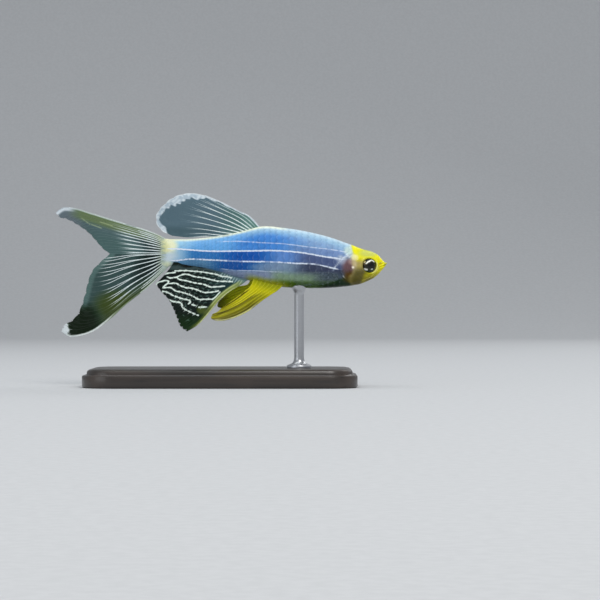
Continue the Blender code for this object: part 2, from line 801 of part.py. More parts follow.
def main():
    for old in list(bpy.data.objects):
        bpy.data.objects.remove(old)
    holder = bpy.data.objects.new("zebra_danio", None)
    bpy.context.scene.collection.objects.link(holder)
    nodes = {**head_and_body(), **upright_fins(), **paired_fins(), **stand()}
    grown = body("grown", GAP)
    for name, (node, _) in nodes.items():
        if "_fin" in name or name == "stand_rod":
            carve(node, "DIFFERENCE", grown)
    bpy.data.objects.remove(grown)
    for node, material_name in nodes.values():
        finish(node, material_name, holder)


main()
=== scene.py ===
"""A long-finned zebra danio as a life-size museum model on its stand, dressed round its solids.

The fish is laid out in its own millimetres: s is the distance behind the tip of the lips, y the
distance to its left and z the height above its long axis. stood() turns these into the scene's
metres, with the slow bend of the swimming body.
"""

import math

import bpy
import numpy as np
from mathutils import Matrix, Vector


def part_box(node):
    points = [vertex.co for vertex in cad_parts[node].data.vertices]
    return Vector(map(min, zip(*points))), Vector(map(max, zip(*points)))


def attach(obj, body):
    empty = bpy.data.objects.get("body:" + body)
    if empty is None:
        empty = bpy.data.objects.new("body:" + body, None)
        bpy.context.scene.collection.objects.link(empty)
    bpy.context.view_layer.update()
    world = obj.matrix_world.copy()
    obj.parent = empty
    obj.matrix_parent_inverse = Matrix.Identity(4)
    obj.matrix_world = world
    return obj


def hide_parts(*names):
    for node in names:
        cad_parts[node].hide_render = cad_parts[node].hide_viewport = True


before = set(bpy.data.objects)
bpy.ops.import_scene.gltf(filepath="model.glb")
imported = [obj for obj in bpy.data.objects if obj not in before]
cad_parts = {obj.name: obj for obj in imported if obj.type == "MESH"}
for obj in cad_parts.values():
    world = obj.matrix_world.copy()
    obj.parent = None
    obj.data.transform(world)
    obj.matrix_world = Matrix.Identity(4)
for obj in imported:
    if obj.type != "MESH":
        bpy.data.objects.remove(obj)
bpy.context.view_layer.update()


# The plinth. A flat block of hardwood with round corners and a stepped moulding cut round its top
# edge, stained black and waxed. It stands on its own flat underside.
MM = 0.001
plinth_low, plinth_high = (np.array(corner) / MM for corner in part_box("stand_base"))
PLINTH_CORNER = 5.0
PLINTH_CORNER_STEPS = 14
# Each step of the moulding: its height over the floor and how far it is set in, in millimetres.
PLINTH_MOULDING = (
    (0.0, 0.35),
    (0.12, 0.1),
    (0.35, 0.0),
    (1.75, 0.0),
    (1.92, 0.06),
    (2.0, 0.24),
    (2.04, 0.6),
    (2.14, 0.74),
    (2.5, 0.78),
    (2.74, 0.9),
    (2.92, 1.2),
    (3.0, 1.7),
)
PLINTH_STAIN = (0.018, 0.014, 0.012)
PLINTH_GRAIN = (0.052, 0.036, 0.027)


def solid_from(name, points, faces, smooth_under=35):
    """An object from points in metres, smooth where its faces meet at less than an angle."""
    mesh = bpy.data.meshes.new(name)
    mesh.from_pydata(np.asarray(points, float).tolist(), [], faces)
    mesh.update()
    mesh.shade_smooth()
    if smooth_under is not None:
        mesh.set_sharp_from_angle(angle=math.radians(smooth_under))
    made = bpy.data.objects.new(name, mesh)
    bpy.context.scene.collection.objects.link(made)
    return made


def ring_faces(rings, sides, first=0):
    """The faces of a closed tube of rings, whose points run anticlockwise seen from the last ring."""
    faces = []
    for r in range(rings - 1):
        for k in range(sides):
            a, b = first + r * sides + k, first + r * sides + (k + 1) % sides
            faces.append((a, b, b + sides, a + sides))
    faces.append(tuple(first + k for k in reversed(range(sides))))
    faces.append(tuple(first + (rings - 1) * sides + k for k in range(sides)))
    return faces


def join(socket, value):
    """Gives a material's socket its value, or links it to another node's output."""
    if isinstance(value, bpy.types.NodeSocket):
        socket.node.id_data.links.new(value, socket)
    else:
        socket.default_value = value


def finish(name, **settings):
    """A material, the function that adds a node to it, and the one that sets its shader."""
    made = bpy.data.materials.new(name)
    made.use_nodes = True
    tree = made.node_tree
    shader = tree.nodes["Principled BSDF"]

    def node(kind, inputs=None, out=0, **properties):
        added = tree.nodes.new("ShaderNode" + kind)
        for word, value in properties.items():
            setattr(added, word, value)
        for socket, value in (inputs or {}).items():
            join(added.inputs[socket], value)
        return added.outputs[out]

    def shade(**sockets):
        for word, value in sockets.items():
            join(shader.inputs[word.replace("_", " ")], value)

    shade(**settings)
    return made, node, shade


def blended(node, share, first, second, kind="MIX"):
    """A colour between two, by a share of the second."""
    mix = node("Mix", out=2, data_type="RGBA", blend_type=kind)
    for word, value in (("Factor", share), ("A", first), ("B", second)):
        join(next(s for s in mix.node.inputs if s.name == word and s.enabled), value)
    return mix


def rescaled(node, value, low, high, to_low=0.0, to_high=1.0, kind="SMOOTHSTEP"):
    """A value carried from one range to another, and held at its ends."""
    inputs = {0: value, 1: low, 2: high, 3: to_low, 4: to_high}
    return node("MapRange", inputs, interpolation_type=kind)


def grain(node, place, scale, detail=4.0, roughness=0.55, stretch=(1.0, 1.0, 1.0)):
    """Noise over a place, finer along an axis where it is stretched more."""
    laid = node("Mapping", {"Vector": place, "Scale": stretch})
    inputs = {"Vector": laid, "Scale": scale, "Detail": detail, "Roughness": roughness}
    return node("TexNoise", inputs)


def bumped(node, height, depth, strength):
    """A bump as deep as depth, in metres."""
    return node("Bump", {"Height": height, "Distance": depth, "Strength": strength})


def worn(obj, material):
    """Gives a piece its material and slot, and lets it move with the one body."""
    obj.data.materials.append(material)
    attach(obj, "root")


plinth_rings = []
for height, inset in PLINTH_MOULDING:
    reach = PLINTH_CORNER - inset
    middle = (plinth_high[:2] - plinth_low[:2]) / 2 - PLINTH_CORNER
    for cx, cy, start in ((1, 1, 0), (-1, 1, 1), (-1, -1, 2), (1, -1, 3)):
        turns = math.pi / 2 * (start + np.linspace(0, 1, PLINTH_CORNER_STEPS + 1))
        x = cx * middle[0] + reach * np.cos(turns)
        y = cy * middle[1] + reach * np.sin(turns)
        plinth_rings.append(np.stack([x, y, np.full_like(x, height)], -1) * MM)
plinth_sides = 4 * (PLINTH_CORNER_STEPS + 1)
plinth = solid_from(
    "stand_plinth",
    np.concatenate(plinth_rings),
    ring_faces(len(PLINTH_MOULDING), plinth_sides),
    smooth_under=28,
)
stained_wood, node, shade = finish("stained_wood", Coat_Weight=0.35, Coat_Roughness=0.18)
place = node("TexCoord", out=3)
fibres = grain(node, place, 260.0, detail=6.0, stretch=(0.12, 1.6, 1.6))
pores = grain(node, place, 1500.0, detail=3.0, stretch=(0.06, 1.0, 1.0))
figure = node("TexWave", {"Vector": place, "Scale": 60.0, "Distortion": 9.0, "Detail": 3.0}, out=1,
              bands_direction="Y")
streak = rescaled(node, fibres, 0.35, 0.75)
wood = blended(node, streak, (*PLINTH_STAIN, 1), (*PLINTH_GRAIN, 1))
wood = blended(node, rescaled(node, figure, 0.2, 1.0, 0.0, 0.35), wood, (*PLINTH_GRAIN, 1))
wood = blended(node, rescaled(node, pores, 0.62, 0.72, 0.0, 0.7), wood, (0.006, 0.005, 0.004, 1))
dips = bumped(node, pores, 0.00004, 0.35)
shade(Base_Color=wood, Roughness=rescaled(node, fibres, 0.3, 0.7, 0.3, 0.46), Normal=dips)
worn(plinth, stained_wood)
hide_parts("stand_base")


# The rod. A turned and brushed steel pin with a small collar, let into the plinth below and into
# the belly above, where a rounded cup spreads its push.
rod_low, rod_high = (np.array(corner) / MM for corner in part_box("stand_rod"))
ROD_CENTRE = (rod_low[:2] + rod_high[:2]) / 2
ROD_SIDES = 48
PLINTH_TOP = PLINTH_MOULDING[-1][0]
BELLY_OVER_ROD = 15.88
# Each turned step of the rod: its height over the floor and its radius, in millimetres.
ROD_TURNING = (
    (PLINTH_TOP - 0.8, 1.0),
    (PLINTH_TOP - 0.02, 1.0),
    (PLINTH_TOP - 0.01, 1.9),
    (PLINTH_TOP + 0.1, 2.0),
    (PLINTH_TOP + 0.3, 2.0),
    (PLINTH_TOP + 0.42, 1.94),
    (PLINTH_TOP + 0.52, 1.78),
    (PLINTH_TOP + 0.6, 1.5),
    (PLINTH_TOP + 0.72, 1.22),
    (PLINTH_TOP + 0.9, 1.02),
    (PLINTH_TOP + 1.15, 0.88),
    (PLINTH_TOP + 1.5, 0.81),
    (PLINTH_TOP + 1.8, 0.8),
    (BELLY_OVER_ROD - 1.1, 0.8),
    (BELLY_OVER_ROD - 0.75, 0.84),
    (BELLY_OVER_ROD - 0.4, 1.0),
    (BELLY_OVER_ROD + 0.1, 1.22),
    (BELLY_OVER_ROD + 0.4, 1.22),
    (BELLY_OVER_ROD + 1.2, 0.7),
)
turns = 2 * math.pi * np.arange(ROD_SIDES) / ROD_SIDES
rod_points = []
for height, radius in ROD_TURNING:
    x = ROD_CENTRE[0] + radius * np.cos(turns)
    y = ROD_CENTRE[1] + radius * np.sin(turns)
    rod_points.append(np.stack([x, y, np.full_like(x, height)], -1) * MM)
rod = solid_from("stand_pin", np.concatenate(rod_points), ring_faces(len(ROD_TURNING), ROD_SIDES), 30)
brushed_steel, node, shade = finish("brushed_steel", Metallic=1.0)
place = node("TexCoord", out=3)
brushing = grain(node, place, 9000.0, detail=2.0, stretch=(0.05, 0.05, 1.0))
tone = blended(node, brushing, (0.44, 0.45, 0.47, 1), (0.54, 0.55, 0.57, 1))
shade(Base_Color=tone, Roughness=rescaled(node, brushing, 0.3, 0.7, 0.3, 0.38))
worn(rod, brushed_steel)
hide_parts("stand_rod")


# The skin. One soft, unbroken skin over head, jaw, gill covers, trunk and tail stem, cast over the
# body's own form, with the lips, mouth, nostrils, orbits and gill openings worked into it.

# How long the whole fish is, how high its axis runs over the floor, where its swimming bend has no
# slope, how far to the left the bend carries the tail's tip, and how far back the skin starts.
LENGTH = 54.1
AXIS_HEIGHT = 20.8
BEND_START = 12.0
BEND_SIZE = 3.2
NOSE = 0.3
# Distance behind the lips, height of the back, height of the belly, half of the width. The last
# four rows close the tail stem inside the tail fin's root.
PROFILE = np.array(
    (
        (NOSE, -0.98, -0.98, 0.0),
        (0.5, -0.66, -1.4, 0.5),
        (0.81, -0.42, -1.8, 0.72),
        (1.13, -0.02, -2.14, 0.9),
        (1.62, 0.49, -2.66, 1.15),
        (2.6, 1.02, -3.4, 1.52),
        (4.2, 1.47, -4.1, 1.95),
        (6.2, 2.25, -4.54, 2.3),
        (9.4, 3.39, -4.86, 2.5),
        (13.0, 4.3, -4.92, 2.52),
        (17.0, 4.93, -4.75, 2.3),
        (20.4, 5.16, -4.21, 1.95),
        (24.0, 4.3, -3.24, 1.55),
        (28.0, 3.54, -2.06, 1.15),
        (32.0, 3.16, -1.32, 0.85),
        (34.5, 3.14, -1.28, 0.66),
        (35.4, 3.16, -1.38, 0.5),
        (36.1, 3.18, -1.45, 0.34),
        (36.6, 3.08, -1.3, 0.18),
        (37.1, 2.8, -1.0, 0.06),
        (37.5, 2.4, -0.6, 0.02),
    )
)
STEM_TIP_HEIGHT = 0.75
# How high up the body is widest, as a share of its depth, and how full its section is: 2 is an oval.
WIDEST_LEVEL = 0.52
ROUNDNESS = 2.2
SKIN_STATIONS = 440
SKIN_SIDES = 176
# The skin sinks this deep under the scales, which set in over this stretch behind the head.
SCALE_DEPTH = 0.06
SCALES_SET_IN = (5.6, 7.2)
HEAD_REACH = 9.0

# The lips are soft rolls with the mouth's cleft between them. Seen from the side, each runs from
# the front back to the mouth's corner.
LIP_STEPS = 60
UPPER_LIP = {"front": (0.3, -0.88), "corner": (1.4, -1.34), "thick": (0.15, 0.12)}
LOWER_LIP = {"front": (0.48, -1.2), "corner": (1.44, -1.72), "thick": (0.16, 0.12)}
MOUTH_HALF_WIDTH = 1.02
MOUTH_CLEFT = {"front": (0.38, -1.05), "corner": (1.5, -1.54), "depth": 0.1, "width": 0.055}

EYE_PLACE = np.array((3.08, 1.2, -1.25))
EYE_RADIUS = 1.15
EYE_DEPTH = 0.7
EYE_TURN = math.radians(14)

# The free rear edge of the gill cover, from the nape down to the throat, seen from the side.
GILL_EDGE = (
    (5.55, 0.95),
    (6.35, 0.8),
    (7.1, 0.3),
    (7.62, -0.5),
    (7.84, -1.5),
    (7.66, -2.5),
    (7.1, -3.4),
    (6.2, -4.05),
    (4.9, -4.3),
)
GILL_LIFT = 0.09
# Grooves of the head, each with its line seen from the side, its depth and its half width.
HEAD_GROOVES = (
    (((4.75, 0.25), (5.25, -0.5), (5.35, -1.6), (5.05, -2.7), (4.2, -3.4), (3.3, -3.45)), 0.035, 0.11),
    (((5.75, -0.1), (6.35, -1.1), (6.3, -2.3), (5.7, -3.2)), 0.035, 0.09),
    (((1.5, -1.75), (1.85, -2.05), (1.95, -2.5)), 0.035, 0.09),
    (((4.35, -0.55), (4.6, -1.3), (4.3, -2.2), (3.5, -2.75), (2.5, -2.6), (2.0, -2.1)), 0.025, 0.09),
    (((2.0, -2.95), (3.4, -3.62), (5.0, -4.0), (6.2, -4.08)), 0.05, 0.07),
    (((2.4, -3.32), (3.8, -3.92), (5.2, -4.2)), 0.04, 0.06),
    (((1.35, -2.1), (1.9, -2.75), (2.7, -3.25)), 0.04, 0.07),
)
# Each nostril's distance behind the lips, its distance from the middle and its radius.
NOSTRILS = ((1.52, 0.6, 0.09), (1.86, 0.7, 0.12))
NOSTRIL_RIM_HEIGHT = 0.05
NOSTRIL_RIM_WIDTH = 0.06
NOSTRIL_DEPTH = 0.2
# The ring of skin round the eye: its radius and half width, and its height. Inside its edge the
# skin drops to the orbit's floor, behind the eye's middle.
ORBIT_RING = (1.34, 0.16)
ORBIT_RING_HEIGHT = 0.07
ORBIT_EDGE = (1.05, 1.2)
ORBIT_FLOOR = 0.12


def curve_through(knots, values, x):
    """Values on a smooth curve through the knots, for each x."""
    knots = np.asarray(knots, float)
    values = np.asarray(values, float)
    x = np.clip(np.asarray(x, float), knots[0], knots[-1])
    slopes = np.gradient(values, knots, axis=0)
    i = np.clip(np.searchsorted(knots, x, side="right") - 1, 0, len(knots) - 2)
    width = knots[i + 1] - knots[i]
    t = (x - knots[i]) / width
    if values.ndim > 1:
        t, width = t[..., None], width[..., None]
    held = (1 + 2 * t) * (1 - t) ** 2 * values[i] + t * t * (3 - 2 * t) * values[i + 1]
    return held + width * (t * (1 - t) ** 2 * slopes[i] - t * t * (1 - t) * slopes[i + 1])


def along(points, share):
    """Points at shares, 0 to 1, of the way along a smooth curve through the given points."""
    points = np.asarray(points, float)
    steps = np.linalg.norm(np.diff(points, axis=0), axis=1)
    reach = np.concatenate([[0.0], np.cumsum(steps)])
    return curve_through(reach / reach[-1], points, share)


def ease(x, start, end):
    """0 before start and 1 after end, with a smooth rise between them."""
    t = np.clip((np.asarray(x, float) - start) / (end - start), 0, 1)
    return t * t * (3 - 2 * t)


def fade(x, start, end):
    """1 before start and 0 after end, with a smooth fall between them."""
    return 1 - ease(x, start, end)


def bell(x, middle, width):
    """1 at the middle, falling off to both sides over about the width."""
    return np.exp(-(((x - middle) / width) ** 2))


def swimming_bend(s):
    """How far to the left the middle of the fish lies."""
    return BEND_SIZE * ((s - BEND_START) / (LENGTH - BEND_START)) ** 2


def stood(fish):
    """The scene's points, in metres, of points of the fish given as s, y and z."""
    s, y, z = np.moveaxis(np.asarray(fish, float), -1, 0)
    return np.stack([LENGTH / 2 - s, y + swimming_bend(s), AXIS_HEIGHT + z], -1) * MM


def body_rows(reach):
    """Heights of back and belly and half of the width, at the root of the distance behind the nose."""
    knots = np.sqrt(PROFILE[:, 0] - NOSE)
    return np.moveaxis(curve_through(knots, PROFILE[:, 1:], reach), -1, 0)


def body_at(reach, turn, sink=0.0):
    """The body's surface, at the root of the distance behind the nose and a turn from the back."""
    back, belly, half = body_rows(reach)
    back, belly = back - sink, belly + sink
    half = np.maximum(half - sink, 0.004)
    middle = belly + WIDEST_LEVEL * (back - belly)
    up, out = np.cos(turn), np.sin(turn)
    height = np.where(up > 0, back - middle, middle - belly)
    y = np.sign(out) * np.abs(out) ** (2 / ROUNDNESS) * half
    z = middle + np.sign(up) * np.abs(up) ** (2 / ROUNDNESS) * height
    return np.stack([NOSE + reach**2 + 0 * y, y, z], -1)


def body_normal(reach, turn, sink=0.0):
    """The outward direction of the body's surface."""
    step = 1e-3
    back = body_at(np.maximum(reach - step, 1e-4), turn, sink)
    rearward = body_at(reach + step, turn, sink) - back
    around = body_at(reach, turn + step, sink) - body_at(reach, turn - step, sink)
    normal = np.cross(rearward, around)
    return normal / np.maximum(np.linalg.norm(normal, axis=-1, keepdims=True), 1e-12)


def off_line(line, points):
    """How far points are from a line of points, on which side of it, and how far along it."""
    line, points = np.asarray(line, float), np.asarray(points, float)
    start, run = line[:-1], np.diff(line, axis=0)
    gap = points[:, None, :] - start
    t = np.clip((gap * run).sum(-1) / (run * run).sum(-1), 0, 1)
    away = np.linalg.norm(gap - t[..., None] * run, axis=-1)
    nearest = away.argmin(1)
    rows = np.arange(len(points))
    side = None
    if line.shape[1] == 2:
        side = np.sign(run[:, 0] * gap[..., 1] - run[:, 1] * gap[..., 0])[rows, nearest]
    share = (nearest + t[rows, nearest]) / len(run)
    return away[rows, nearest], side, share


def off_curve(knots, points, steps=60):
    """As off_line, for the smooth curve through a few knots."""
    return off_line(along(knots, np.linspace(0, 1, steps)), points)


def mouth_spine(sizes):
    """The line of a lip or of the cleft, from one corner of the mouth round the front."""
    turn = math.pi * (np.linspace(0, 1, LIP_STEPS) - 0.5)
    back = 1 - np.cos(turn)
    s = sizes["front"][0] + (sizes["corner"][0] - sizes["front"][0]) * back
    z = sizes["front"][1] + (sizes["corner"][1] - sizes["front"][1]) * back
    return np.stack([s, MOUTH_HALF_WIDTH * np.sin(turn), z], -1)


def eye_axes(side):
    """The eye's outward direction and its middle, on the right (-1) or left (1)."""
    outward = np.array([-math.sin(EYE_TURN), side * math.cos(EYE_TURN), 0.0])
    return outward, EYE_PLACE * (1, side, 1)


def eye_reach(points):
    """How far points are from the nearer eye's axis, and how far out along it."""
    reach, out = np.full(len(points), 99.0), np.zeros(len(points))
    for side in (-1, 1):
        outward, middle = eye_axes(side)
        gap = points - middle
        a = gap @ outward
        r = np.linalg.norm(gap - a[:, None] * outward, axis=1)
        mine = (np.sign(points[:, 1]) == side) & (a > -0.6)
        reach = np.where(mine, r, reach)
        out = np.where(mine, a, out)
    return reach, out


def gill_side(points):
    """How far points lie behind the gill cover's free edge, and less than 0 in front of it."""
    away, side, share = off_curve(GILL_EDGE, points[:, (0, 2)])
    behind = np.where(side > 0, away, -away)
    return np.where((share <= 0) | (share >= 1), np.abs(behind), behind), share


def head_relief(points, normals):
    """How far the skin of the head stands over, or sinks under, the body's plain form."""
    lift = np.zeros(len(points))
    for lip in (UPPER_LIP, LOWER_LIP):
        spine = mouth_spine(lip)
        away, _, share = off_line(spine, points)
        nearest = spine[(share * (LIP_STEPS - 1)).round().astype(int)]
        over = ((points - nearest) * normals).sum(1)
        flat = np.sqrt(np.maximum(away**2 - over**2, 0))
        back = 1 - np.sin(math.pi * share)
        radius = lip["thick"][0] + (lip["thick"][1] - lip["thick"][0]) * back
        top = np.sqrt(np.maximum(radius**2 - flat**2, 0)) - over
        lift = np.maximum(lift, np.where(flat < radius, top, 0) * ease(radius * 1.5 - away, 0, 0.1))
    away, _, _ = off_line(mouth_spine(MOUTH_CLEFT), points)
    lift -= MOUTH_CLEFT["depth"] * bell(away, 0, MOUTH_CLEFT["width"])
    for s, y, radius in NOSTRILS:
        gap = np.hypot(points[:, 0] - s, np.abs(points[:, 1]) - y)
        gap = np.where(points[:, 2] > -0.6, gap, 9.0)
        lift += NOSTRIL_RIM_HEIGHT * bell(gap, radius * 1.5, NOSTRIL_RIM_WIDTH)
        lift -= NOSTRIL_DEPTH * bell(gap, 0, radius)
    for line, depth, width in HEAD_GROOVES:
        away, _, share = off_curve(line, points[:, (0, 2)])
        ends = ease(share, 0.0, 0.12) * ease(1 - share, 0.0, 0.12)
        lift -= depth * ends * bell(away, 0, width)
        lift += 0.35 * depth * ends * bell(away, 2.2 * width, 1.3 * width)
    behind, share = gill_side(points)
    ends = ease(share, 0.02, 0.16) * ease(1 - share, 0.02, 0.16)
    inside = fade(behind, -0.03, 0.06)
    lift += GILL_LIFT * ends * inside * ease(behind, -1.6, -0.1)
    lift -= 0.1 * ends * bell(behind, 0.1, 0.1)
    reach, out = eye_reach(points)
    lift += ORBIT_RING_HEIGHT * bell(reach, *ORBIT_RING)
    sunk = -ORBIT_FLOOR - out
    share = fade(reach, *ORBIT_EDGE)
    return lift * (1 - share) + sunk * share


def grid_faces(rows, columns, wrapped=False):
    """The faces of a grid of points, row by row."""
    a = np.arange(rows - 1)[:, None] * columns
    k = np.arange(columns if wrapped else columns - 1)
    b = (k + 1) % columns
    quads = np.stack([a + k, a + b, a + columns + b, a + columns + k], -1)
    return quads.reshape(-1, 4).tolist()


def keep_values(obj, name, values, kind="FLOAT"):
    """Stores a value at each point of a piece: a number, a vector or a colour."""
    words = {"FLOAT": "value", "FLOAT_VECTOR": "vector", "FLOAT_COLOR": "color"}
    held = obj.data.attributes.new(name, kind, "POINT")
    held.data.foreach_set(words[kind], np.ascontiguousarray(values, np.float32).ravel())


reach = np.linspace(0.03, math.sqrt(PROFILE[-1, 0] - NOSE), SKIN_STATIONS)[:, None]
turn = (2 * math.pi * np.arange(SKIN_SIDES) / SKIN_SIDES)[None, :]
reach, turn = np.broadcast_arrays(reach, turn)
reach, turn = reach.ravel(), turn.ravel()
sink = SCALE_DEPTH * ease(reach**2 + NOSE, *SCALES_SET_IN)
skin_form = body_at(reach, turn, sink)
skin_normal = body_normal(reach, turn, sink)
near_head = skin_form[:, 0] < HEAD_REACH
skin_points = skin_form.copy()
relief = head_relief(skin_form[near_head], skin_normal[near_head])
skin_points[near_head] += skin_normal[near_head] * relief[:, None]
snout_tip = (NOSE - 0.005, 0.0, PROFILE[0, 1])
stem_tip = (PROFILE[-1, 0] + 0.05, 0.0, STEM_TIP_HEIGHT)
count = SKIN_STATIONS * SKIN_SIDES
skin_faces = grid_faces(SKIN_STATIONS, SKIN_SIDES, wrapped=True)
for k in range(SKIN_SIDES):
    nxt = (k + 1) % SKIN_SIDES
    skin_faces.append((count, nxt, k))
    skin_faces.append((count + 1, count - SKIN_SIDES + k, count - SKIN_SIDES + nxt))
skin_points = np.concatenate([skin_points, [snout_tip, stem_tip]])
skin = solid_from("danio_skin", stood(skin_points), skin_faces, smooth_under=None)
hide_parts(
    "head", "lower_jaw", "gill_cover_right", "gill_cover_left", "trunk", "tail_stem"
)


# The skin's colours. The fish's deep blue flank, cream back, olive belly, lemon head and flushed
# gill cover are soft washes that follow the body's lines, with fine pale lines along the flank.

# Each fine line, seen from the side, with its half width and its strength.
FINE_LINES = (
    (((6.0, 0.78), (9.0, 1.3), (12.5, 1.7), (16.9, 2.25), (20.5, 2.46), (24.7, 2.69), (28.0, 2.6)), 0.1, 0.5),
    (((6.9, -0.35), (8.6, -0.05), (10.4, 0.19), (13.6, 0.78), (17.3, 1.12), (23.4, 1.12), (29.2, 1.12),
      (34.4, 1.49), (36.2, 1.55)), 0.135, 1.0),
    (((7.6, -1.95), (9.5, -1.54), (11.4, -1.1), (15.1, -0.89), (18.4, -0.68), (23.4, -0.57), (29.0, -0.31),
      (32.0, -0.18), (34.4, -0.4), (35.6, -0.42)), 0.13, 0.95),
    (((16.6, -2.3), (18.0, -2.27), (21.2, -2.09), (25.1, -1.98), (27.4, -1.7)), 0.09, 0.5),
)
FLANK_BLUE = (66, 138, 220)
# Pale streaks round the gill cover, painted glints: both ends, seen from the side, and half of the width.
GILL_GLINTS = (
    ((7.75, -0.2), (6.5, 0.35), 0.09),
    ((8.7, -1.6), (7.5, -0.2), 0.07),
    ((6.3, 0.1), (5.6, 0.6), 0.08),
    ((7.3, -2.95), (6.9, -3.4), 0.08),
)
# Softer pearly streaks behind and above them, a painted sheen.
PEARLY_SHEEN_STREAKS = (
    ((7.9, 0.25), (6.9, -0.2), 0.16),
    ((8.8, -0.1), (7.6, -0.45), 0.13),
    ((6.9, 0.75), (6.3, 0.1), 0.15),
    ((8.6, -1.5), (8.95, -2.05), 0.13),
    ((6.35, -3.35), (6.9, -3.75), 0.1),
)
# Dark rings on the gill cover: their middle, and the radius and strength of each.
GILL_RING_MIDDLE = (5.9, -1.45)
GILL_RINGS = ((0.35, 0.7), (0.6, 0.6), (0.85, 0.6), (1.1, 0.5))
# How far back the nape's edge leans for each millimetre of height.
NAPE_SLOPE = 0.16


def painted(base, places):
    """A sheet of colour over places, and the function that lays a wash on it."""
    sheet = np.array(np.broadcast_to(np.asarray(base, float), (len(places), 3)))

    def wash(colour, share):
        sheet[:] += np.clip(share, 0, 1)[:, None] * (np.array(colour, float) - sheet)

    return sheet, wash


def as_light(sheet):
    """Colours of 0 to 255, as seen on a screen, as the light they stand for."""
    c = np.clip(sheet / 255, 0, 1)
    light = np.where(c <= 0.04045, c / 12.92, ((c + 0.055) / 1.055) ** 2.4)
    return np.concatenate([light, np.ones((len(c), 1))], 1)


def line_height(line, s):
    """How high a line of the flank runs at a distance behind the lips."""
    knots = np.array(line)
    return curve_through(knots[:, 0], knots[:, 1], s)


def patch(s, z, middle, size):
    """1 in the middle of an oval patch and falling softly to 0 outside it."""
    away = np.hypot((s - middle[0]) / size[0], (z - middle[1]) / size[1])
    return fade(away, 0.45, 1.25)


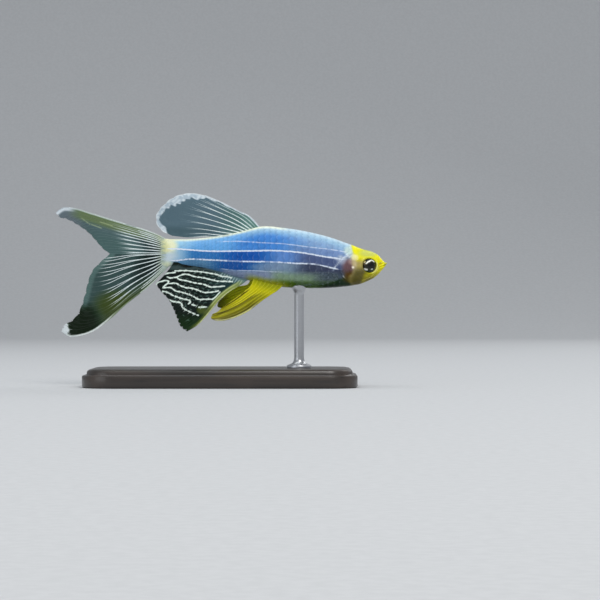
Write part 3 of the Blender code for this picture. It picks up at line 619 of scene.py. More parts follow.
def coat_colour(points):
    """The colour of the skin and of its scales, at points of the fish."""
    s, z, seen = points[:, 0], points[:, 2], points[:, (0, 2)]
    back, belly, _ = body_rows(np.sqrt(np.maximum(s - NOSE, 0)))
    under_back, over_belly = back - z, z - belly
    under = [line_height(line, s) - z for line, _, _ in FINE_LINES]
    # The flank, from the back down, in bands under each of the fine lines.
    sheet, wash = painted(FLANK_BLUE, points)
    wash((122, 162, 208), fade(s, 11, 19))
    wash((102, 174, 238), ease(s, 22.5, 27))
    pale_back = fade(under_back, 0.4, 1.9)
    wash((164, 202, 226), pale_back * fade(s, 21, 26))
    wash((124, 186, 242), pale_back * ease(s, 21, 26) * 0.9)
    wash((116, 146, 196), ease(under[0], -0.2, 0.4) * fade(s, 12, 18))
    wash((160, 212, 244), ease(s, 30.5, 33.5) * ease(z, 0.8, 2.2))
    middle = ease(under[1], -0.08, 0.25)
    wash((80, 96, 138), middle * fade(s, 15, 19))
    wash((94, 142, 212), middle * ease(s, 12.5, 16.5))
    wash((0, 86, 178), middle * ease(s, 17.2, 21.8))
    wash((42, 120, 190), middle * ease(s, 23.8, 29))
    wash((156, 196, 224), middle * ease(s, 31.0, 34.2))
    lower = ease(under[2], -0.06, 0.18)
    wash((60, 68, 94), lower * fade(s, 15, 19))
    wash((124, 150, 174), lower * ease(s, 12.5, 16.5))
    wash((4, 84, 166), lower * ease(s + 0.6 * z, 17.0, 21.5))
    wash((88, 140, 180), lower * ease(s, 25.8, 30))
    # The belly, from the throat to the vent.
    side = fade(over_belly, 1.7, 3.0)
    wash((70, 84, 98), side * fade(s, 9.5, 12.5))
    wash((134, 162, 132), side * ease(s, 9.5, 13) * fade(s, 18, 21))
    lavender = ease(under[3], -0.25, 0.25) * ease(s, 17.5, 20) * fade(s, 26, 28.5)
    wash((140, 154, 184), lavender * 0.95)
    wash((58, 90, 2), fade(over_belly, 0.6, 1.5) * ease(s, 6.8, 9) * fade(s, 16, 19))
    # Dark green low on the throat, partly its own colour and partly painted shade under the body.
    wash((10, 38, 20), fade(over_belly, 0.2, 1.3) * ease(s, 5.6, 6.6) * fade(s, 9.5, 12))
    wash((128, 154, 188), patch(s, z, (19.6, -1.5), (3.2, 0.8)) * 0.7)
    belly_span = ease(s, 14.5, 18.5) * fade(s, 21.0, 23.6)
    wash((156, 162, 40), fade(over_belly, 0.3, 1.5) * belly_span)
    wash((166, 164, 0), fade(over_belly, 0.1, 0.9) * belly_span)
    # The cream ridge of the back and the pale, ragged end of the tail stem.
    ridge = fade(under_back, 0.14, 0.62)
    wash((244, 250, 226), ridge * ease(s, 14.5, 18))
    wash((210, 232, 242), ridge * fade(s, 14.5, 18) * 0.8)
    ragged = s + 0.3 * np.sin(2.3 * z + 0.5) + 0.12 * np.sin(6.1 * z)
    stem = ease(ragged, 33.8, 35.6)
    wash((250, 252, 210), np.maximum(stem, patch(s, z, (35.4, 2.0), (1.5, 1.3))) * ease(z, 0.2, 1.2))
    wash((206, 222, 230), stem * fade(z, 0.2, 1.5))
    wash((224, 230, 178), stem * fade(z, -1.0, -0.2) * 0.7)
    wash((234, 234, 172), patch(s, z, (36.1, 1.7), (0.9, 0.9)) * 0.75)
    wash((176, 194, 180), ease(s + 0.3 * np.sin(9.0 * z) - 0.12 * np.abs(z - 0.8), 35.9, 36.9))
    # The nape, and the gill cover with its red disc, dark rings, a painted highlight, painted glints and
    # pearly streaks of painted sheen.
    wash((206, 228, 214), patch(s, z, (6.3, 1.1), (1.0, 0.9)) * 0.85)
    # Pearly streaks of painted sheen behind the gill cover.
    for start, end, width in PEARLY_SHEEN_STREAKS:
        away, _, _ = off_line((start, end), seen)
        wash((214, 230, 244), bell(away, 0, width) * 0.6)
    face = fade(gill_side(points)[0], -1.1, 0.2) * fade(s, 8.3, 8.8)
    wash((172, 184, 182), face * ease(z, -0.8, 0.0) * ease(s, 4.9, 5.6) * 0.8)
    wash((140, 128, 140), face * ease(z, -1.6, -0.8) * fade(z, -0.7, 0.1) * ease(s, 4.9, 5.6) * 0.6)
    wash((86, 74, 74), face * fade(z, -2.4, -0.9) * ease(s, 4.9, 5.6))
    disc = fade(np.hypot((s - 6.4) / 1.3, (z + 1.3) / 1.35), 0.3, 1.2)
    wash((116, 80, 82), disc * 0.9)
    wash((82, 52, 46), disc * fade(z, -2.5, -1.5) * 0.8)
    out = np.hypot(s - GILL_RING_MIDDLE[0], z - GILL_RING_MIDDLE[1])
    for radius, share in GILL_RINGS:
        wash((60, 32, 38), bell(out, radius, 0.06) * share * disc * 0.8)
        wash((176, 142, 142), bell(out - radius, 0.12, 0.05) * share * disc * 0.4)
    # A painted highlight on the upper gill cover.
    wash((190, 162, 152), patch(s, z, (6.0, -0.6), (0.6, 0.5)) * 0.6)
    wash((196, 206, 222), patch(s, z, (7.6, -0.3), (0.9, 0.9)) * 0.6)
    # Painted glints: pale streaks round the gill cover's edge.
    for start, end, half in GILL_GLINTS:
        away, _, _ = off_line((start, end), seen)
        wash((222, 230, 238), fade(away, half - 0.04, half + 0.07) * 0.75)
    wash((86, 56, 0), patch(s, z, (6.1, -2.85), (1.05, 0.7)) * 0.9)
    # Dark green on the chest under the gill cover, partly its own colour and partly painted shade under the
    # body.
    wash((12, 44, 14), patch(s, z, (7.1, -4.1), (1.7, 0.8)))
    wash((12, 44, 14), fade(over_belly, 0.1, 0.7) * ease(s, 5.2, 6.4) * fade(s, 8, 10))
    # The cheek under the eye, and the lemon brow and snout, with painted highlights on the brow.
    nape = s - NAPE_SLOPE * z
    wash((206, 220, 186), fade(nape, 5.5, 6.0) * ease(z, -0.3, 0.6) * 0.7)
    wash((84, 68, 6), patch(s, z, (6.0, -3.5), (1.5, 0.7)) * 0.8)
    cheek = fade(s + 0.14 * np.sin(2.4 * z) + 0.06 * np.sin(7.0 * z), 5.2, 6.1 + 0.5 * ease(-z, 1.8, 3.4))
    wash((184, 168, 92), cheek)
    wash((214, 196, 158), cheek * ease(s, 4.8, 5.4) * fade(z, 0.0, 0.5) * 0.8)
    wash((100, 92, 40), cheek * fade(z, -2.4, -1.1))
    wash((84, 76, 4), cheek * fade(z, -3.9, -2.7))
    top = fade(nape, 5.0 + 0.35 * ease(z, 0.2, 1.2), 5.75) * ease(z, -0.9, 0.2)
    front = fade(s + 0.3 * (z + 1.25), 2.4, 3.9)
    wash((240, 234, 0), np.maximum(top, front))
    wash((172, 164, 2), front * fade(z, -3.0, -1.7))
    wash((116, 108, 0), front * fade(z, -3.6, -2.7) * ease(s, 1.8, 3.0))
    # A painted highlight on the brow in front of the nape.
    wash((250, 244, 176), patch(s, z, (5.4, 0.1), (0.7, 0.55)) * 0.85)
    wash((242, 234, 0), fade(s, 1.3, 2.4) * ease(z, -1.7, -0.8))
    # A painted highlight on the forehead over the eye.
    wash((194, 202, 122), patch(s, z, (3.2, 0.8), (1.8, 0.8)) * 0.75)
    wash((190, 188, 60), fade(s, 0.45, 0.8) * 0.8)
    reach, _ = eye_reach(points)
    rim = bell(reach, 1.27, 0.13)
    wash((244, 242, 150), rim * fade(s, 2.3, 3.0) * fade(z, -0.9, -0.1))
    wash((108, 104, 44), rim * ease(s, 2.9, 3.9) * 0.5)
    # Painted shade: the skin in the gap round the eye is painted near black.
    wash((20, 20, 4), fade(reach, 1.04, 1.18))
    wash((250, 238, 214), patch(s, z, (5.7, -1.54), (0.26, 0.25)))
    return as_light(sheet)


def coat_values(obj, points):
    """Stores on a piece of the coat its colours and its places along the fine pale lines."""
    keep_values(obj, "hue", coat_colour(points), "FLOAT_COLOR")
    keep_values(obj, "lie", points, "FLOAT_VECTOR")
    for number, (line, half_width, _) in enumerate(FINE_LINES):
        s = points[:, 0]
        first, last = line[0][0], line[-1][0]
        width = half_width * ease(s, first - 0.05, first + 1.4) * ease(last - s, -0.05, 1.2)
        off = (points[:, 2] - line_height(line, s)) / np.maximum(width, 1e-3)
        keep_values(obj, f"line_{number}", np.clip(off, -30, 30))


def coat_material(name, scaled):
    """The moist skin's material: washes, mottling, pale lines and a pearly wet gloss."""
    made, node, shade = finish(
        name,
        Specular_IOR_Level=0.16,
        Coat_Weight=0.12,
        Coat_Roughness=0.16,
        Subsurface_Weight=0.12,
        Subsurface_Radius=(0.9, 0.7, 0.5),
        Subsurface_Scale=0.0004,
    )
    hue = node("VertexColor", layer_name="hue")
    lie = node("Attribute", out=1, attribute_name="lie")
    flecks = grain(node, lie, 5.5, detail=3.0)
    clouds = grain(node, lie, 0.75, detail=3.0, stretch=(0.8, 1.0, 1.5))
    colour = blended(node, rescaled(node, clouds, 0.45, 0.7, 0.0, 0.015), hue, (0.62, 0.76, 0.9, 1))
    colour = blended(node, rescaled(node, clouds, 0.5, 0.28, 0.0, 0.16), colour, (0.1, 0.14, 0.26, 1),
                     "MULTIPLY")
    colour = blended(node, rescaled(node, flecks, 0.58, 0.8, 0.0, 0.02), colour, (0.85, 0.9, 0.9, 1))
    colour = blended(node, rescaled(node, flecks, 0.45, 0.25, 0.0, 0.22), colour, (0.25, 0.25, 0.3, 1),
                     "MULTIPLY")
    frayed = grain(node, lie, 3.2, detail=3.0, stretch=(1.0, 0.6, 1.4))
    fray = rescaled(node, frayed, 0.3, 0.7, -0.34, 0.34, "LINEAR")
    breaks = grain(node, lie, 1.15, detail=1.0, stretch=(1.3, 0.2, 0.2))
    whole = rescaled(node, breaks, 0.38, 0.5, 0.35, 1.0)
    shine = None
    for number, (_, _, strength) in enumerate(FINE_LINES):
        off = node("Attribute", out=2, attribute_name=f"line_{number}")
        away = node("Math", {0: node("Math", {0: off}, operation="ABSOLUTE"), 1: fray}, operation="ADD")
        on = rescaled(node, away, 1.12, 0.62, 0.0, strength)
        if number != 1:
            on = node("Math", {0: on, 1: whole}, operation="MULTIPLY")
        shine = on if shine is None else node("Math", {0: shine, 1: on}, operation="MAXIMUM")
    colour = blended(node, shine, colour, (0.80, 0.88, 1.0, 1))
    if scaled:
        # On the scales, each free edge is lightened, a painted highlight, and the part that comes out from
        # under the scale before is darkened, partly the scales' net pattern and partly painted shade.
        edge = node("Attribute", out=2, attribute_name="edge")
        colour = blended(node, rescaled(node, edge, 0.84, 1.0, 0.0, 0.08), colour, (0.82, 0.9, 0.98, 1))
        colour = blended(node, rescaled(node, edge, 0.72, 0.4, 0.0, 0.22), colour, (0.3, 0.36, 0.5, 1),
                         "MULTIPLY")
    goose = bumped(node, grain(node, lie, 9.0, detail=4.0), 0.00001, 0.4)
    shade(
        Base_Color=colour,
        Roughness=rescaled(node, flecks, 0.3, 0.7, 0.38, 0.5, "LINEAR"),
        Normal=goose,
    )
    return made


coat_values(skin, skin_points)
worn(skin, coat_material("moist_skin", scaled=False))


# The scales. Thin round-edged plates of clear bone in lengthwise rows, each rooted in the skin under
# the one before it and lying flat towards the tail, from the nape and gill opening to the tail's root.
SCALE_ROWS = 24
SCALES_FROM = 5.7
SCALES_TO = 36.0
SCALES_NAPE = 5.75
# From one scale to the next is this share of the girth and a little more. Each scale is this many
# times as long as that step, and this many times as wide as its row.
SCALE_SPACING = 0.044
SCALE_SPACING_MORE = 0.04
SCALE_OVERLAP = 1.75
SCALE_BREADTH = 1.12
# How high a scale's free edge stands over its root, how deep the root lies and how thick it is.
SCALE_LIFT = 0.04
SCALE_ROOT = 0.035
SCALE_PLATE = 0.02
SCALE_ACROSS = 9
SCALE_ALONG = 8
SCALE_SEED = 11
# On the map for baking: its blank margin, the span that it fills and each scale's patch.
MAP_MARGIN = 0.01
MAP_SPAN = 0.97
MAP_PATCH = 0.003


def girth(s):
    """Roughly how far it is round the body."""
    back, belly, half = curve_through(PROFILE[:, 0], PROFILE[:, 1:], s)
    return math.pi * ((back - belly) / 2 + half)


def scale_plate(across, back, turn_middle, turn_half, start, length, rise):
    """Points of one scale's face: across from -1 to 1, and back from the root, 0, to the edge, 1."""
    bow = 1 - 0.34 * across**2 * ease(back, 0.25, 1.0)
    s = start + length * back * bow
    narrow = 1 - 0.25 * fade(back, 0.0, 0.5)
    turn = turn_middle + turn_half * across * narrow
    reach = np.sqrt(s - NOSE)
    sink = SCALE_DEPTH * ease(s, *SCALES_SET_IN)
    crown = 0.02 * (1 - across**2)
    return body_at(reach, turn, sink) + body_normal(reach, turn, sink) * (rise + crown)[..., None]


def grid_rim(rows, columns):
    """The points round the edge of a grid, in order."""
    rim = list(range(columns))
    rim += [r * columns + columns - 1 for r in range(1, rows)]
    rim += [(rows - 1) * columns + k for k in range(columns - 2, -1, -1)]
    rim += [r * columns for r in range(rows - 2, 0, -1)]
    return rim


def dress_in_scales(name, side):
    """One side's scales as one piece of closed plates, each with a small patch of the map."""
    rng = np.random.default_rng(SCALE_SEED + side)
    across, back = np.meshgrid(np.linspace(-1, 1, SCALE_ACROSS), np.linspace(0, 1, SCALE_ALONG))
    across, back = across.ravel(), back.ravel()
    top = grid_faces(SCALE_ALONG, SCALE_ACROSS)
    rim = grid_rim(SCALE_ALONG, SCALE_ACROSS)
    count = len(across)
    points, faces, edges, patches = [], [], [], []
    s, column = SCALES_FROM, 0
    while s < SCALES_TO:
        spacing = SCALE_SPACING * girth(s) + SCALE_SPACING_MORE
        for row in range(SCALE_ROWS // 2 + 1):
            turn = 2 * math.pi / SCALE_ROWS * (row + (0.5 if column % 2 else 0.0))
            if turn > math.pi + 1e-6:
                continue
            start = s + rng.uniform(-0.06, 0.06) * spacing
            length = spacing * SCALE_OVERLAP * rng.uniform(0.96, 1.05)
            lift = SCALE_LIFT * rng.uniform(0.94, 1.06)
            root = body_at(np.array([math.sqrt(start + 0.3 * length - NOSE)]), np.array([turn]))
            behind = float(gill_side(root)[0][0])
            if root[0, 0] < HEAD_REACH and root[0, 2] < 1.0 and behind < 0.05:
                continue
            if root[0, 0] - NAPE_SLOPE * root[0, 2] < SCALES_NAPE + rng.uniform(-0.1, 0.1):
                continue
            if start > SCALES_TO - 0.9 * abs(math.cos(turn)) + rng.uniform(-0.2, 0.1):
                continue
            lift *= 1 - 0.5 * float(ease(start, 26.0, 34.0))
            half = math.pi / SCALE_ROWS * SCALE_BREADTH
            rise = -SCALE_ROOT + lift * ease(back, 0.0, 0.8)
            rise *= ease(SCALES_TO + 0.8 - start, 0.0, 1.5)
            face = scale_plate(across, back, side * turn, half, start, length, rise)
            under = scale_plate(across, back, side * turn, half, start, length, rise - SCALE_PLATE)
            middle = scale_plate(
                np.array([0.0]), np.array([0.5]), side * turn, half, start, length,
                np.array([-SCALE_ROOT + lift * 0.5 - SCALE_PLATE]),
            )
            first = len(points)
            points.extend([*face, *under[rim], *middle])
            faces += [tuple(first + k for k in quad) for quad in top]
            n = len(rim)
            for k in range(n):
                a, b = first + rim[k], first + rim[(k + 1) % n]
                c, d = first + count + (k + 1) % n, first + count + k
                faces.append((a, d, c, b))
                faces.append((d, first + count + n, c))
            shares = np.concatenate([back, back[rim], [0.5]])
            wide = np.concatenate([across, across[rim], [0.0]])
            edges.extend(np.maximum(shares - 0.12 * wide**2, 0))
            u = MAP_MARGIN + MAP_SPAN * (start - SCALES_FROM) / (SCALES_TO - SCALES_FROM)
            v = MAP_MARGIN + MAP_SPAN * turn / math.pi
            patches.extend(np.stack([u + MAP_PATCH * shares, v + MAP_PATCH * (wide + 1) / 2], -1))
        s += spacing
        column += 1
    points = np.array(points)
    made = solid_from(name, stood(points), faces, smooth_under=50)
    coat_values(made, points)
    keep_values(made, "edge", np.array(edges))
    corners = np.zeros(len(made.data.loops), np.int32)
    made.data.loops.foreach_get("vertex_index", corners)
    laid = made.data.uv_layers.new(name="OFBake")
    laid.data.foreach_set("uv", np.array(patches, np.float32)[corners].ravel())
    return made


horn_scales = coat_material("horn_scales", scaled=True)
for word, side in (("right", -1), ("left", 1)):
    worn(dress_in_scales("scales_" + word, side), horn_scales)


# The eyes. A flattened ball of glossy resin in each orbit, the iris painted dark olive with silver arcs,
# which are painted reflections, round a wide black pupil, under a thick clear coat like a wet cornea.
EYE_SIDES = 96
EYE_RINGS = 56
EYE_DOME = 0.74
PUPIL = ((0.1, -0.02), 0.5)
# Marks of the iris, the silver ones painted reflections and the dark ones its own: a line given as forward
# and up from the eye's middle, its half width and its colour.
IRIS_MARKS_AND_REFLECTIONS = (
    (((-0.66, 0.3), (-0.42, 0.56), (-0.16, 0.7), (0.31, 0.86), (0.72, 0.64)), 0.13, (255, 255, 244)),
    (((-0.92, 0.5), (-0.8, 0.66)), 0.13, (250, 236, 180)),
    (((-1.0, 0.2), (-0.66, 0.18)), 0.08, (90, 66, 20)),
    (((-0.86, -0.58), (-0.56, -0.66)), 0.19, (255, 255, 250)),
    (((-0.9, -0.86), (-0.4, -0.92)), 0.1, (14, 60, 14)),
    (((0.16, -0.58), (0.4, -0.56)), 0.11, (224, 232, 226)),
    (((-0.3, -0.5), (0.1, -0.62)), 0.05, (70, 80, 40)),
    (((0.72, 0.3), (0.84, -0.05), (0.74, -0.4)), 0.05, (84, 88, 44)),
)


def iris_colour(forward, up):
    """The eye's colour, at places forward and up from its middle."""
    places = np.stack([forward, up], -1)
    sheet, wash = painted((26, 30, 14), places)
    reach = np.hypot(forward, up)
    wash((12, 16, 8), ease(reach, 0.78, 1.05))
    wash((30, 44, 16), ease(-up, 0.3, 0.8) * ease(reach, 0.5, 0.8))
    # The silver marks are painted reflections; the dark ones are the iris's own.
    for line, half_width, colour in IRIS_MARKS_AND_REFLECTIONS:
        away, _, _ = off_curve(line, places, 24)
        wash(colour, fade(away, 0.5 * half_width, 1.35 * half_width))
    (across, height), radius = PUPIL
    wash((5, 5, 4), fade(np.hypot(forward - across, up - height), radius - 0.03, radius + 0.02))
    return as_light(sheet)


wet_eye, node, shade = finish(
    "wet_eye", Roughness=0.3, Specular_IOR_Level=0.2, Coat_Weight=0.45, Coat_Roughness=0.015
)
hue = node("VertexColor", layer_name="hue")
lie = node("Attribute", out=1, attribute_name="lie")
threads = grain(node, lie, 7.0, detail=4.0)
colour = blended(node, rescaled(node, threads, 0.62, 0.36, 0.0, 0.45), hue, (0.3, 0.28, 0.2, 1), "MULTIPLY")
shade(Base_Color=colour, Metallic=rescaled(node, threads, 0.3, 0.7, 0.0, 0.15, "LINEAR"))
for word, side in (("right", -1), ("left", 1)):
    outward, middle = eye_axes(side)
    forward = np.array([-math.cos(EYE_TURN), -side * math.sin(EYE_TURN), 0.0])
    upward = np.array([0.0, 0.0, 1.0])
    fall = np.linspace(0.02, math.pi - 0.02, EYE_RINGS)[:, None]
    round_it = side * 2 * math.pi * np.arange(EYE_SIDES)[None, :] / EYE_SIDES
    ahead = (EYE_RADIUS * np.sin(fall) * np.cos(round_it)).ravel()
    above = (EYE_RADIUS * np.sin(fall) * np.sin(round_it)).ravel()
    out = np.where(np.cos(fall) > 0, EYE_DOME, EYE_DEPTH) * np.cos(fall) + 0 * round_it
    out = out.ravel()
    points = middle + out[:, None] * outward + ahead[:, None] * forward + above[:, None] * upward
    ball = solid_from("danio_eye_" + word, stood(points[::-1]), ring_faces(EYE_RINGS, EYE_SIDES), None)
    hues = iris_colour(ahead, above)
    hues[out < 0, :3] = 0.01
    keep_values(ball, "hue", hues[::-1], "FLOAT_COLOR")
    keep_values(ball, "lie", points[::-1], "FLOAT_VECTOR")
    worn(ball, wet_eye)
    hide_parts("eye_" + word)


# The barbels. Two pairs of soft feelers, a short one from the snout and a long one that hangs from
# the mouth's corner, each tapering to a fine tip and rooted in the skin.
LONG_BARBEL = (
    (1.5, 0.8, -1.15),
    (1.45, 1.3, -1.35),
    (1.6, 1.65, -1.75),
    (2.9, 1.95, -3.1),
    (4.3, 2.15, -3.65),
)
SHORT_BARBEL = ((0.95, 0.45, -0.75), (1.15, 1.05, -0.8), (1.6, 1.5, -0.95))
BARBEL_THICKNESS = (0.11, 0.03)
BARBEL_STEPS = 40
BARBEL_SIDES = 14


def tube_round(spine, radii, sides, flat_way=None, flatness=1.0):
    """Rings of points round a line in metres, flattened along a direction given at each point."""
    ahead = np.gradient(spine, axis=0)
    ahead /= np.linalg.norm(ahead, axis=1, keepdims=True)
    if flat_way is None:
        flat_way = np.tile((0.0, 0.0, 1.0), (len(spine), 1))
    first = flat_way - ahead * (flat_way * ahead).sum(1, keepdims=True)
    first /= np.maximum(np.linalg.norm(first, axis=1, keepdims=True), 1e-12)
    second = np.cross(ahead, first)
    turns = 2 * math.pi * np.arange(sides) / sides
    cos, sin = np.cos(turns)[None, :, None], np.sin(turns)[None, :, None]
    wide = np.asarray(radii, float)[:, None, None] * MM
    rings = spine[:, None] + wide * (flatness * cos * first[:, None] + sin * second[:, None])
    return rings.reshape(-1, 3)


points, faces, places = [], [], []
for side in (-1, 1):
    for path in (LONG_BARBEL, SHORT_BARBEL):
        share = np.linspace(0, 1, BARBEL_STEPS)
        spine = along(path, share) * (1, side, 1)
        radii = BARBEL_THICKNESS[0] + (BARBEL_THICKNESS[1] - BARBEL_THICKNESS[0]) * share
        radii = radii * np.sqrt(np.maximum(1 - ease(share, 0.95, 1.001) * 0.9, 0.02))
        faces += ring_faces(BARBEL_STEPS, BARBEL_SIDES, first=sum(len(p) for p in points))
        points.append(tube_round(stood(spine), radii, BARBEL_SIDES))
        places.append(np.repeat(share, BARBEL_SIDES))
share = np.concatenate(places)
barbels = solid_from("barbels", np.concatenate(points), faces, 60)
sheet, wash = painted((214, 204, 30), np.zeros((len(share), 3)))
wash((160, 150, 24), ease(share, 0.25, 0.8))
keep_values(barbels, "hue", as_light(sheet), "FLOAT_COLOR")
feeler_skin, node, shade = finish(
    "feeler_skin", Roughness=0.36, Coat_Weight=0.35, Coat_Roughness=0.15, Subsurface_Weight=0.2,
    Subsurface_Radius=(0.9, 0.7, 0.4), Subsurface_Scale=0.0003,
)
place = node("TexCoord", out=3)
rings = grain(node, place, 7000.0, detail=3.0)
hue = node("VertexColor", layer_name="hue")
colour = blended(node, rescaled(node, rings, 0.35, 0.7, 0.0, 0.5), hue, (0.2, 0.14, 0.02, 1))
shade(Base_Color=colour, Normal=bumped(node, rings, 0.00001, 0.5))
worn(barbels, feeler_skin)


# The back fin. A sail of clear skin stretched on ten branching rays, smoky grey with white rays
# that fade outwards and a bluish white border, rooted along the back in front of the tail stem.
DORSAL_FIN = {
    "root": ((20.41, 4.37), (21.9, 3.9), (23.4, 3.5)),
    "lead": ((20.41, 4.37), (22.36, 6.64), (24.79, 7.94), (27.22, 9.2), (29.48, 10.16)),
    "margin": ((29.48, 10.16), (32.08, 10.53), (34.51, 10.0), (36.45, 8.59), (37.58, 7.05),
               (37.66, 5.99), (36.77, 4.5), (34.99, 3.62)),
    "trail": ((23.4, 3.5), (26.24, 3.3), (29.4, 3.54), (32.4, 3.36), (34.99, 3.62)),
}
# The border's white is as wide as this at shares of its way from the rear corner to the front.
DORSAL_BORDER = ((0.0, -0.2), (0.025, -0.1), (0.05, 0.5), (0.1, 0.7), (0.2, 0.8), (0.3, 1.15), (0.4, 1.15),
                 (0.48, 0.9), (0.57, 0.42), (0.75, 0.24), (1.0, 0.1))
DORSAL_RAYS = 10
SKIN_THICKNESS = (0.1, 0.03)
# A ray forks at these shares of its length, by these shares of the gap to the next ray, and its
# parts are this thick beside an unforked one.
RAY_BRANCHES = (0.4, 0.8)
FORK_SPREAD = (0.25, 0.12)
FORK_THICKNESS = (1.0, 0.9, 0.75)
RAY_STEPS = 34
WHITE = (232, 244, 244)


def fin_outline_point(edges, u, v):
    """The fin seen from the side: u from its leading to its trailing edge, v from root to margin."""
    root, margin = along(edges["root"], u), along(edges["margin"], u)
    lead, trail = along(edges["lead"], v), along(edges["trail"], v)
    u, v = np.asarray(u)[..., None], np.asarray(v)[..., None]
    corners = (
        (1 - u) * (1 - v) * np.array(edges["root"][0])
        + u * (1 - v) * np.array(edges["root"][-1])
        + (1 - u) * v * np.array(edges["margin"][0])
        + u * v * np.array(edges["margin"][-1])
    )
    return (1 - v) * root + v * margin + (1 - u) * lead + u * trail - corners


def fin_surface(edges, aside, flutter=0.0, waves=2.0):
    """The function that gives the fin's middle surface as points of the fish."""

    def surface(u, v):
        seen = fin_outline_point(edges, np.clip(u, 0, 1), np.clip(v, 0, 1))
        s, z = seen[..., 0], seen[..., 1]
        y = aside(s, z) + flutter * np.clip(v, 0, 1) ** 2 * np.sin(2 * math.pi * waves * u + 0.6)
        return np.stack([s, y, z], -1)

    return surface


def unit(vectors):
    """The vectors at a length of one."""
    return vectors / np.maximum(np.linalg.norm(vectors, axis=-1, keepdims=True), 1e-15)


def fin_skin(name, fish_grid, thickness):
    """A closed thin sheet over a grid of points of the fish, thinning from its root outwards."""
    middle = stood(fish_grid)
    rows, columns = middle.shape[:2]
    normal = unit(np.cross(np.gradient(middle, axis=1), np.gradient(middle, axis=0)))
    half = np.linspace(thickness[0], thickness[1], rows)[:, None, None] / 2 * MM
    half[-1] *= 0.5
    points = np.concatenate([middle + normal * half, middle - normal * half]).reshape(-1, 3)
    count = rows * columns
    front = grid_faces(rows, columns)
    faces = front + [tuple(count + k for k in reversed(quad)) for quad in front]
    rim = grid_rim(rows, columns)
    for a, b in zip(rim, rim[1:] + rim[:1]):
        faces.append((a, a + count, b + count, b))
    return solid_from(name, points, faces, smooth_under=50)


def fin_rays(name, surface, spots, spread, radii, branches=RAY_BRANCHES, sweep=0.0, sides=8):
    """Branching rays over a fin's surface, swept towards its leading edge at their ends.

    Returns the piece, and u, v and the number of the ray for each of its points.
    """
    points, faces, shares = [], [], []
    count = 0
    for number, spot in enumerate(spots):
        runs = [(0.0, branches[0], ())]
        runs += [(branches[0], branches[1], (a,)) for a in (-1, 1)]
        runs += [(branches[1], 1.0, (a, b)) for a in (-1, 1) for b in (-1, 1)]
        for first, last, forks in runs:
            steps = max(4, int(RAY_STEPS * (last - first)))
            v = np.linspace(first, last, steps)
            u = np.full_like(v, spot)
            for level, fork in enumerate(forks):
                u = u + fork * spread * FORK_SPREAD[level] * ease(v, branches[level], 1.0)
            u = np.clip(u * (1 - sweep * ease(v, 0.5, 1.1)), 0.003, 0.997)
            spine = stood(surface(u, v))
            step = 2e-3
            across = stood(surface(u + step, v)) - stood(surface(u - step, v))
            onward = stood(surface(u, v + step)) - stood(surface(u, v - step))
            radius = radii[0] + (radii[1] - radii[0]) * v
            radius = radius * FORK_THICKNESS[len(forks)]
            joints = 1 + 0.05 * np.cos(2 * math.pi * np.arange(steps) / 2)
            faces += ring_faces(steps, sides, first=count)
            points.append(tube_round(spine, radius * joints, sides, unit(np.cross(across, onward)), 0.8))
            shares.append(np.stack([np.repeat(u, sides), np.repeat(v, sides),
                                    np.full(steps * sides, float(number))], -1))
            count += steps * sides
    return solid_from(name, np.concatenate(points), faces, smooth_under=60), np.concatenate(shares)


def scalloped(columns, rows, rays, notch):
    """A grid of u and v whose margin is drawn in a little between the rays."""
    u, v = np.meshgrid(np.linspace(0, 1, columns), np.linspace(0, 1, rows))
    between = 1 - np.abs(np.cos(math.pi * (rays - 1) * u))
    return u, v * (1 - notch * between)


def veil_material(name, roughness=0.36, gloss=0.08):
    """The material of fin skin: tinted film, as see-through as its stored veil says."""
    made, node, shade = finish(name, Coat_Weight=gloss, Coat_Roughness=0.2, Specular_IOR_Level=0.1)
    hue = node("VertexColor", layer_name="hue")
    lie = node("Attribute", out=1, attribute_name="lie")
    veil = node("Attribute", out=2, attribute_name="veil")
    crinkle = grain(node, lie, 1.1, detail=3.0)
    fine = grain(node, lie, 9.0, detail=3.0)
    colour = blended(node, rescaled(node, crinkle, 0.4, 0.75, 0.0, 0.015), hue, (0.6, 0.7, 0.72, 1))
    dull = rescaled(node, fine, 0.6, 0.35, 0.0, 0.16)
    colour = blended(node, dull, colour, (0.4, 0.43, 0.45, 1), "MULTIPLY")
    thin = rescaled(node, crinkle, 0.3, 0.7, 0.992, 1.0, "LINEAR")
    shade(
        Base_Color=colour,
        Roughness=roughness,
        Alpha=node("Math", {0: veil, 1: thin}, operation="MULTIPLY", use_clamp=True),
        Normal=bumped(node, fine, 0.00001, 0.3),
    )
    return made


def ray_material(name):
    """The material of fin rays: pale jointed bone under a thin wet skin."""
    made, node, shade = finish(
        name, Roughness=0.34, Coat_Weight=0.15, Coat_Roughness=0.15, Specular_IOR_Level=0.25
    )
    hue = node("VertexColor", layer_name="hue")
    lie = node("Attribute", out=1, attribute_name="lie")
    joints = grain(node, lie, 6.0, detail=2.0, stretch=(1.6, 0.5, 0.5))
    dull = rescaled(node, joints, 0.55, 0.35, 0.0, 0.35)
    colour = blended(node, dull, hue, (0.4, 0.44, 0.46, 1), "MULTIPLY")
    shade(Base_Color=colour, Normal=bumped(node, joints, 0.00002, 0.4))
    return made


def dress_skin(piece, fish_grid, colour, veil):
    """Stores the fin skin's colours and veil on both of its faces."""
    flat = fish_grid.reshape(-1, 3)
    keep_values(piece, "hue", np.tile(as_light(colour), (2, 1)), "FLOAT_COLOR")
    keep_values(piece, "lie", np.tile(flat, (2, 1)), "FLOAT_VECTOR")
    keep_values(piece, "veil", np.tile(veil, 2))


def dress_rays(piece, surface, shares, colour):
    """Stores the rays' colours and places."""
    keep_values(piece, "hue", as_light(colour), "FLOAT_COLOR")
    keep_values(piece, "lie", surface(shares[:, 0], shares[:, 1]), "FLOAT_VECTOR")


def dorsal_lean(s, z):
    """The dorsal fin tips to the right towards its margin."""
    return -0.5 * ease(s, 22.0, 38.0)


